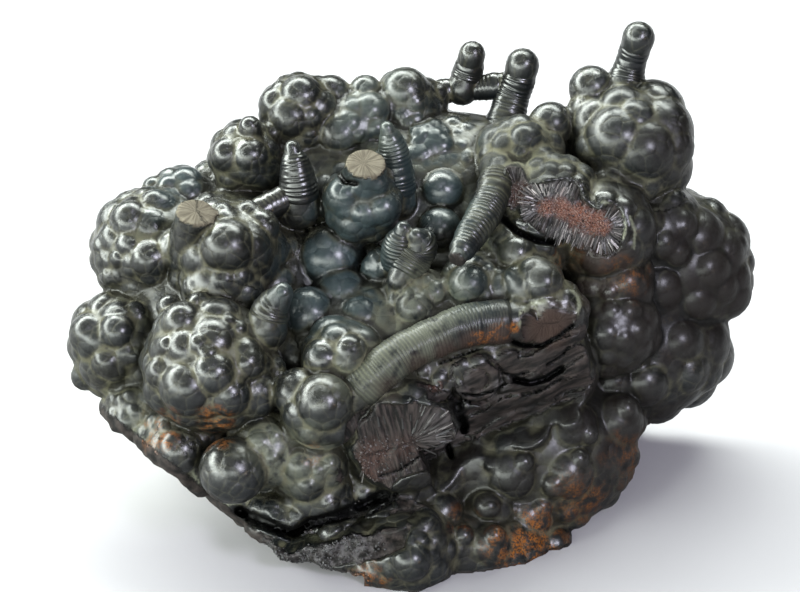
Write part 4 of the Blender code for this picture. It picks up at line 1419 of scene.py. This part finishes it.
def rib_tree(material):
    """Sweeps a ring along each stalactite, its radius rising and falling with the ribs."""
    inputs = {"Rib Pitch": "Float", "Step": "Float", "Sides": "Int", "Unevenness": "Float"}
    make = GeometryMaker("Ribbed skin", inputs)
    lines = make.node("GeometryNodeMeshToCurve", {}, {"Mesh": make.input("Geometry")})
    smooth = make.node("GeometryNodeCurveSplineType", {"spline_type": "CATMULL_ROM"}, {"Curve": lines})
    even = make.node("GeometryNodeResampleCurve", {"mode": "LENGTH"},
                     {"Curve": smooth, "Length": make.input("Step")})
    along = make.node("GeometryNodeSplineParameter", output="Length")
    total = make.node("GeometryNodeSplineLength")
    thick = make.named("thick")
    wander = make.noise(RIB_NOISE["drift"], 1.0)
    swell = make.noise(RIB_NOISE["swell"], 1.0)
    phase = along * (1 / (make.input("Rib Pitch") * make.named("pitch"))) + wander * RIB_DRIFT
    wave = (phase * math.pi).math("SINE").math("ABSOLUTE")
    crest = wave * (swell * RIB_SWELL[0] + RIB_SWELL[1])
    crest = crest + (phase * RIB_LINES[0]).math("SINE") * RIB_LINES[1]
    nearest_end = along.math("MINIMUM", total - along)
    share = 1 - (nearest_end * (1 / thick)).math("MINIMUM", 1.0)
    cap = (1.0005 - share * share).math("SQRT")
    radius = (thick * (wander * ROD_SWELL[0] + ROD_SWELL[1]) + make.named("rib") * crest) * cap
    shaped = make.node("GeometryNodeSetCurveRadius", {}, {"Curve": even, "Radius": radius})
    ring = make.node("GeometryNodeCurvePrimitiveCircle", {},
                     {"Resolution": make.input("Sides"), "Radius": 1.0})
    dusted = make.stored(shaped, "valley", RIB_VALLEY - wave * RIB_CREST)
    sockets = {"Curve": dusted, "Profile Curve": ring, "Scale": radius, "Fill Caps": True}
    swept = make.node("GeometryNodeCurveToMesh", {}, sockets)
    push = (make.noise(RIB_NOISE["fine"], 2.0) - 0.5) * make.input("Unevenness")
    offset = make.node("GeometryNodeInputNormal").scaled(push)
    moved = make.node("GeometryNodeSetPosition", {}, {"Geometry": swept, "Offset": offset})
    return make.finish(moved, material)


def scatter_tree(name, where, shape, wander, material):
    """Sets a small shape on the skin again and again wherever an attribute says, lying along the flow."""
    make = GeometryMaker(name, {"Density": "Float", "Size": "Float", "Seed": "Int"})
    seed = make.input("Seed")
    points = make.node("GeometryNodeDistributePointsOnFaces", {},
                       {"Mesh": make.input("Geometry"), "Density": make.named(where) * make.input("Density"),
                        "Seed": seed})
    normal = Value(make, points.socket.node.outputs["Normal"])
    stray = make.random_vector((-wander,) * 3, (wander,) * 3, seed)
    aim = make.summed(make.summed(make.named("flow", "FLOAT_VECTOR"), stray), normal.scaled(SCATTER_LIFT))
    turned = make.node("FunctionNodeAlignRotationToVector", {"axis": "Z"}, {"Vector": aim})
    tone = make.node("FunctionNodeRandomValue", {"data_type": "FLOAT"},
                     {2: 0.0, 3: 1.0, "Seed": seed}, output=1)
    stretch = make.random_vector(*SCATTER_SIZES, seed)
    sockets = {"Points": make.stored(points, "tone", tone), "Instance": make.node(*shape), "Rotation": turned,
               "Scale": stretch.scaled(make.input("Size"))}
    return make.finish(make.node("GeometryNodeInstanceOnPoints", {}, sockets), material)


def scatter(name, tree, density, size, seed):
    """A piece made of small shapes set all over a copy of the stone's skin."""
    skin = show(bpy.data.objects["goethite_stone"].data.copy(), name)
    inputs = {"Density": density / MM ** 2, "Size": size, "Seed": seed}
    skin.data = run_tree(skin, tree, inputs, name)
    finish_piece(skin)


def finish_piece(obj, material=None):
    """Gives a piece its material and ties it to the frame."""
    if material is not None:
        obj.data.materials.clear()
        obj.data.materials.append(material)
    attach(obj, "root")


def add_floor(colours):
    """A wide plain floor."""
    corners = [(FLOOR_HALF * x, FLOOR_HALF * y, 0) for x, y in ((-1, -1), (1, -1), (1, 1), (-1, 1))]
    mesh = bpy.data.meshes.new("studio_floor")
    mesh.from_pydata(corners, [], [(0, 1, 2, 3)])
    floor = show(mesh, "studio_floor")
    mesh.materials.append(floor_material(colours))


def add_lamp(name, way, along, width, height, glow, tint, distance):
    """A rectangular lamp that looks at the stone, its width along the given direction."""
    light = bpy.data.lights.new(name, "AREA")
    light.shape = "RECTANGLE"
    light.size = width
    light.size_y = height
    light.energy = glow * math.pi * width * height
    light.color = tint
    lamp = bpy.data.objects.new(name, light)
    back = Vector(way).normalized()
    right = (Vector(along) - back * back.dot(Vector(along))).normalized()
    lamp.matrix_world = Matrix((right, back.cross(right), back)).transposed().to_4x4()
    lamp.location = Vector(FACE_CENTRE) * MM + back * distance
    bpy.context.scene.collection.objects.link(lamp)


def add_lights():
    """An open ring of lamps overhead, a small cool lamp at the right front and a faint warm one."""
    middle = Vector(RING_MIDDLE).normalized()
    right = (Vector((1, 0, 0)) - middle * middle.x).normalized()
    back = middle.cross(right)
    width, height, brightest, tint, distance = RING_LAMP
    for index in range(RING_LAMPS):
        angle = RING_START + RING_TURN * index / (RING_LAMPS - 1)
        spoke = right * math.cos(angle) + back * math.sin(angle)
        round_ring = back * math.cos(angle) - right * math.sin(angle)
        way = middle * math.cos(RING_SPREAD) + spoke * math.sin(RING_SPREAD)
        glow = brightest * (1 - RING_DIMMING + RING_DIMMING * math.cos(angle - RING_BRIGHTEST))
        add_lamp(f"ring_{index}", way, round_ring, width, height, glow, tint, distance)
    add_lamp("overhead", middle, right, *OVERHEAD_LAMP)
    for name, (way, lamp) in LAMPS.items():
        add_lamp(name, way, (1, 0, 0), *lamp)


def set_background(scene):
    """Even pale light all round."""
    world = bpy.data.worlds.new("studio")
    world.use_nodes = True
    background = world.node_tree.nodes["Background"]
    background.inputs["Color"].default_value = BACKGROUND
    background.inputs["Strength"].default_value = BACKGROUND_STRENGTH
    scene.world = world
    scene.view_settings.view_transform = "Standard"


def set_camera(scene):
    """Looks down at the growth face."""
    camera = bpy.data.cameras.new("camera")
    camera.lens = CAMERA_LENS
    viewer = bpy.data.objects.new("camera", camera)
    back = Vector((0, -math.cos(CAMERA_TILT), math.sin(CAMERA_TILT)))
    viewer.location = Vector(FACE_CENTRE) * MM + back * CAMERA_DISTANCE
    viewer.rotation_euler = back.to_track_quat("Z", "Y").to_euler()
    scene.collection.objects.link(viewer)
    scene.camera = viewer


def length(name, about, default):
    """A length property, in metres."""
    return FloatProperty(name=name, description=about, default=default, min=0, unit="LENGTH", precision=5)


def colour(name, about, red, green, blue):
    """A colour property from its usual 0 to 255 values."""
    linear = [(value / 255) ** 2.2 for value in (red, green, blue)] + [1]
    return FloatVectorProperty(name=name, description=about, default=linear, size=4, min=0, max=1,
                               subtype="COLOR")


class GoethiteSizes(bpy.types.PropertyGroup):
    """Sizes of the specimen's fine detail."""

    grid: length("Grid", "Spacing of the grid that the stone's surface is grown on", 0.0005)
    margin: length("Margin", "Room round the CAD box for the grid", 0.0025)
    rib_pitch: length("Rib pitch", "Distance between the ribs of a stalactite", 0.00095)
    rib_step: length("Rib step", "Spacing of the rings that a stalactite is swept from", 0.00016)
    rib_unevenness: length("Rib unevenness", "How far ribs wander in and out", 0.00036)
    fibre: length("Fibre", "Half the width of a broken fibre", 0.00023)
    fibre_density: FloatProperty(name="Fibre density", description="Fibres on a square millimetre of break",
                                 default=4.0, min=0)
    grain: length("Grain", "Half the width of a granular crystal", 0.00028)
    grain_density: FloatProperty(name="Grain density", description="Crystals on a square millimetre",
                                 default=8.0, min=0)
    seed: IntProperty(name="Seed", description="Changes every random choice", default=SEED, min=0)


class GoethiteColours(bpy.types.PropertyGroup):
    """Colours of the specimen."""

    stone: colour("Stone", "Dark skin of the lumps", 12, 12, 11)
    stone_blue: colour("Blue stone", "Cooler skin in places", 12, 15, 17)
    blue_grey: colour("Blue grey", "Blue-grey skin", 38, 47, 49)
    brown: colour("Brown", "Brown-black skin on the right", 19, 14, 12)
    olive: colour("Olive", "Olive dust", 62, 61, 47)
    olive_crease: colour("Olive crease", "Dust in the lines between the lumps", 68, 66, 54)
    dust: colour("Dust", "Dust settled in hollows and on top", 60, 60, 51)
    pale: colour("Pale", "Pale dusty skin", 78, 80, 70)
    # painted shade: the dark colour painted into the creases of the brown and blue skin and into the deepest
    # hollows
    crease: colour("Crease", "Dark lines between the lumps", 9, 9, 8)
    # painted shade: near-black paint inside the cracks
    black: colour("Crack", "Inside of a crack", 4, 4, 4)
    # partly a painted highlight: the pale rims where a crust ends
    rim: colour("Rim", "Pale rim where a crust ends", 92, 93, 80)
    worn: colour("Worn", "Worn high spots", 90, 92, 88)
    rust: colour("Rust", "Rusty patches", 104, 62, 24)
    umber: colour("Umber", "Brown of old breaks", 42, 33, 29)
    break_dark: colour("Break, dark", "Dark fibres of a break", 15, 14, 13)
    break_light: colour("Break, light", "Light fibres of a break", 48, 43, 41)
    silver: colour("Silver", "Silvery fibres", 68, 67, 68)
    fibre: colour("Fibre", "Silvery blades of a break", 116, 111, 110)
    red: colour("Red core", "Red-brown core of a break", 82, 53, 43)
    stub_dark: colour("Stub, dark", "Darker part of a cut stalactite", 62, 57, 49)
    stub: colour("Stub", "Pale cut stalactite", 84, 79, 69)
    floor: colour("Floor", "Pale studio floor", 127, 125, 128)


class GOETHITE_OT_stone(bpy.types.Operator):
    """Grow the whole stone's lumpy and broken surface"""

    bl_idname = "goethite.stone"
    bl_label = "Grow stone"

    def execute(self, context):
        sizes = context.scene.goethite_sizes
        margin = sizes.margin / MM
        low, high = (np.array(corner) / MM for corner in STONE_BOX)
        field = StoneField(low - margin, high + margin, sizes.grid / MM)
        lattice = Lattice(sizes.seed)
        grow_lumps(field)
        grow_domes(field)
        cut_breaks(field, lattice)
        open_cracks(field)
        raise_rims(field)
        stone = show(fill_mesh("goethite_stone", *field.skin()), "goethite_stone")
        keep_whole(stone)
        thin_skin(stone, MOST_TRIANGLES)
        points = mesh_vectors(stone.data, "co") / MM
        store_values(stone.data, stone_values(field, points, lattice))
        finish_piece(stone, stone_material(context.scene.goethite_colours))
        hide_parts(NODE)
        return {"FINISHED"}


class GOETHITE_OT_ribs(bpy.types.Operator):
    """Sweep the ribbed skins of the stalactites"""

    bl_idname = "goethite.ribs"
    bl_label = "Sweep ribbed stalactites"

    def execute(self, context):
        sizes = context.scene.goethite_sizes
        vertices = []
        edges = []
        shape = {"thick": [], "rib": [], "pitch": []}
        for name, rib in RIBS.items():
            for index, (across, up, out, radius) in enumerate(FINGERS[name]):
                if index:
                    edges.append((len(vertices) - 1, len(vertices)))
                vertices.append(Vector(place((across, up, out))) * MM)
                middle = 1 - abs(2 * index / (len(FINGERS[name]) - 1) - 1)
                shape["thick"].append(radius * MM)
                shape["rib"].append(rib * MM * (RIB_FADE + (1 - RIB_FADE) * min(1, 2 * middle)))
                shape["pitch"].append(FINE_RIBS.get(name, 1.0))
        mesh = bpy.data.meshes.new("stalactite_lines")
        mesh.from_pydata(vertices, edges, [])
        store_values(mesh, shape)
        lines = show(mesh, "goethite_ribs")
        material = ribbed_material(context.scene.goethite_colours)
        inputs = {"Rib Pitch": sizes.rib_pitch, "Step": sizes.rib_step, "Sides": RIB_SIDES,
                  "Unevenness": sizes.rib_unevenness}
        lines.data = run_tree(lines, rib_tree(material), inputs, "goethite_ribs")
        lines.data.shade_smooth()
        points = mesh_vectors(lines.data, "co") / MM
        store_values(lines.data, patch_values(points, Lattice(sizes.seed)))
        store_values(lines.data, {"upward": mesh_vectors(lines.data, "normal")[:, 2]})
        finish_piece(lines)
        return {"FINISHED"}


class GOETHITE_OT_fibres(bpy.types.Operator):
    """Lay fibres fanning out over the fresh breaks"""

    bl_idname = "goethite.fibres"
    bl_label = "Lay fibres"

    def execute(self, context):
        sizes = context.scene.goethite_sizes
        material = fibre_material(context.scene.goethite_colours)
        tree = scatter_tree("Fibres", "fibrous", FIBRE, FIBRE_WANDER, material)
        scatter("goethite_fibres", tree, sizes.fibre_density, sizes.fibre, sizes.seed)
        return {"FINISHED"}


class GOETHITE_OT_grains(bpy.types.Operator):
    """Scatter granular crystals over the red cores and the rough breaks"""

    bl_idname = "goethite.grains"
    bl_label = "Scatter grains"

    def execute(self, context):
        sizes = context.scene.goethite_sizes
        material = grain_material(context.scene.goethite_colours)
        tree = scatter_tree("Grains", "grainy", GRAIN, GRAIN_WANDER, material)
        scatter("goethite_grains", tree, sizes.grain_density, sizes.grain, sizes.seed)
        return {"FINISHED"}


class GOETHITE_OT_studio(bpy.types.Operator):
    """Set the floor, the lights, the background and the camera"""

    bl_idname = "goethite.studio"
    bl_label = "Set studio"

    def execute(self, context):
        add_floor(context.scene.goethite_colours)
        add_lights()
        set_background(context.scene)
        set_camera(context.scene)
        return {"FINISHED"}


class GOETHITE_PT_panel(bpy.types.Panel):
    """The specimen's pieces, sizes and colours"""

    bl_label = "Goethite specimen"
    bl_idname = "GOETHITE_PT_panel"
    bl_space_type = "VIEW_3D"
    bl_region_type = "UI"
    bl_category = "Goethite"

    def draw(self, context):
        layout = self.layout
        for operator in OPERATORS:
            layout.operator(operator.bl_idname)
        for group in (context.scene.goethite_sizes, context.scene.goethite_colours):
            column = layout.column()
            for name in group.__annotations__:
                column.prop(group, name)


OPERATORS = (GOETHITE_OT_stone, GOETHITE_OT_ribs, GOETHITE_OT_fibres, GOETHITE_OT_grains, GOETHITE_OT_studio)
CLASSES = (GoethiteSizes, GoethiteColours, *OPERATORS, GOETHITE_PT_panel)


def register():
    """Adds the operators, the panel and their sizes and colours."""
    for cls in CLASSES:
        bpy.utils.register_class(cls)
    bpy.types.Scene.goethite_sizes = PointerProperty(type=GoethiteSizes)
    bpy.types.Scene.goethite_colours = PointerProperty(type=GoethiteColours)


def unregister():
    """Takes them away again."""
    del bpy.types.Scene.goethite_colours
    del bpy.types.Scene.goethite_sizes
    for cls in reversed(CLASSES):
        bpy.utils.unregister_class(cls)


def main():
    """Makes every piece and the studio."""
    register()
    bpy.ops.goethite.stone()
    bpy.ops.goethite.ribs()
    bpy.ops.goethite.fibres()
    bpy.ops.goethite.grains()
    bpy.ops.goethite.studio()


if __name__ == "__main__":
    main()
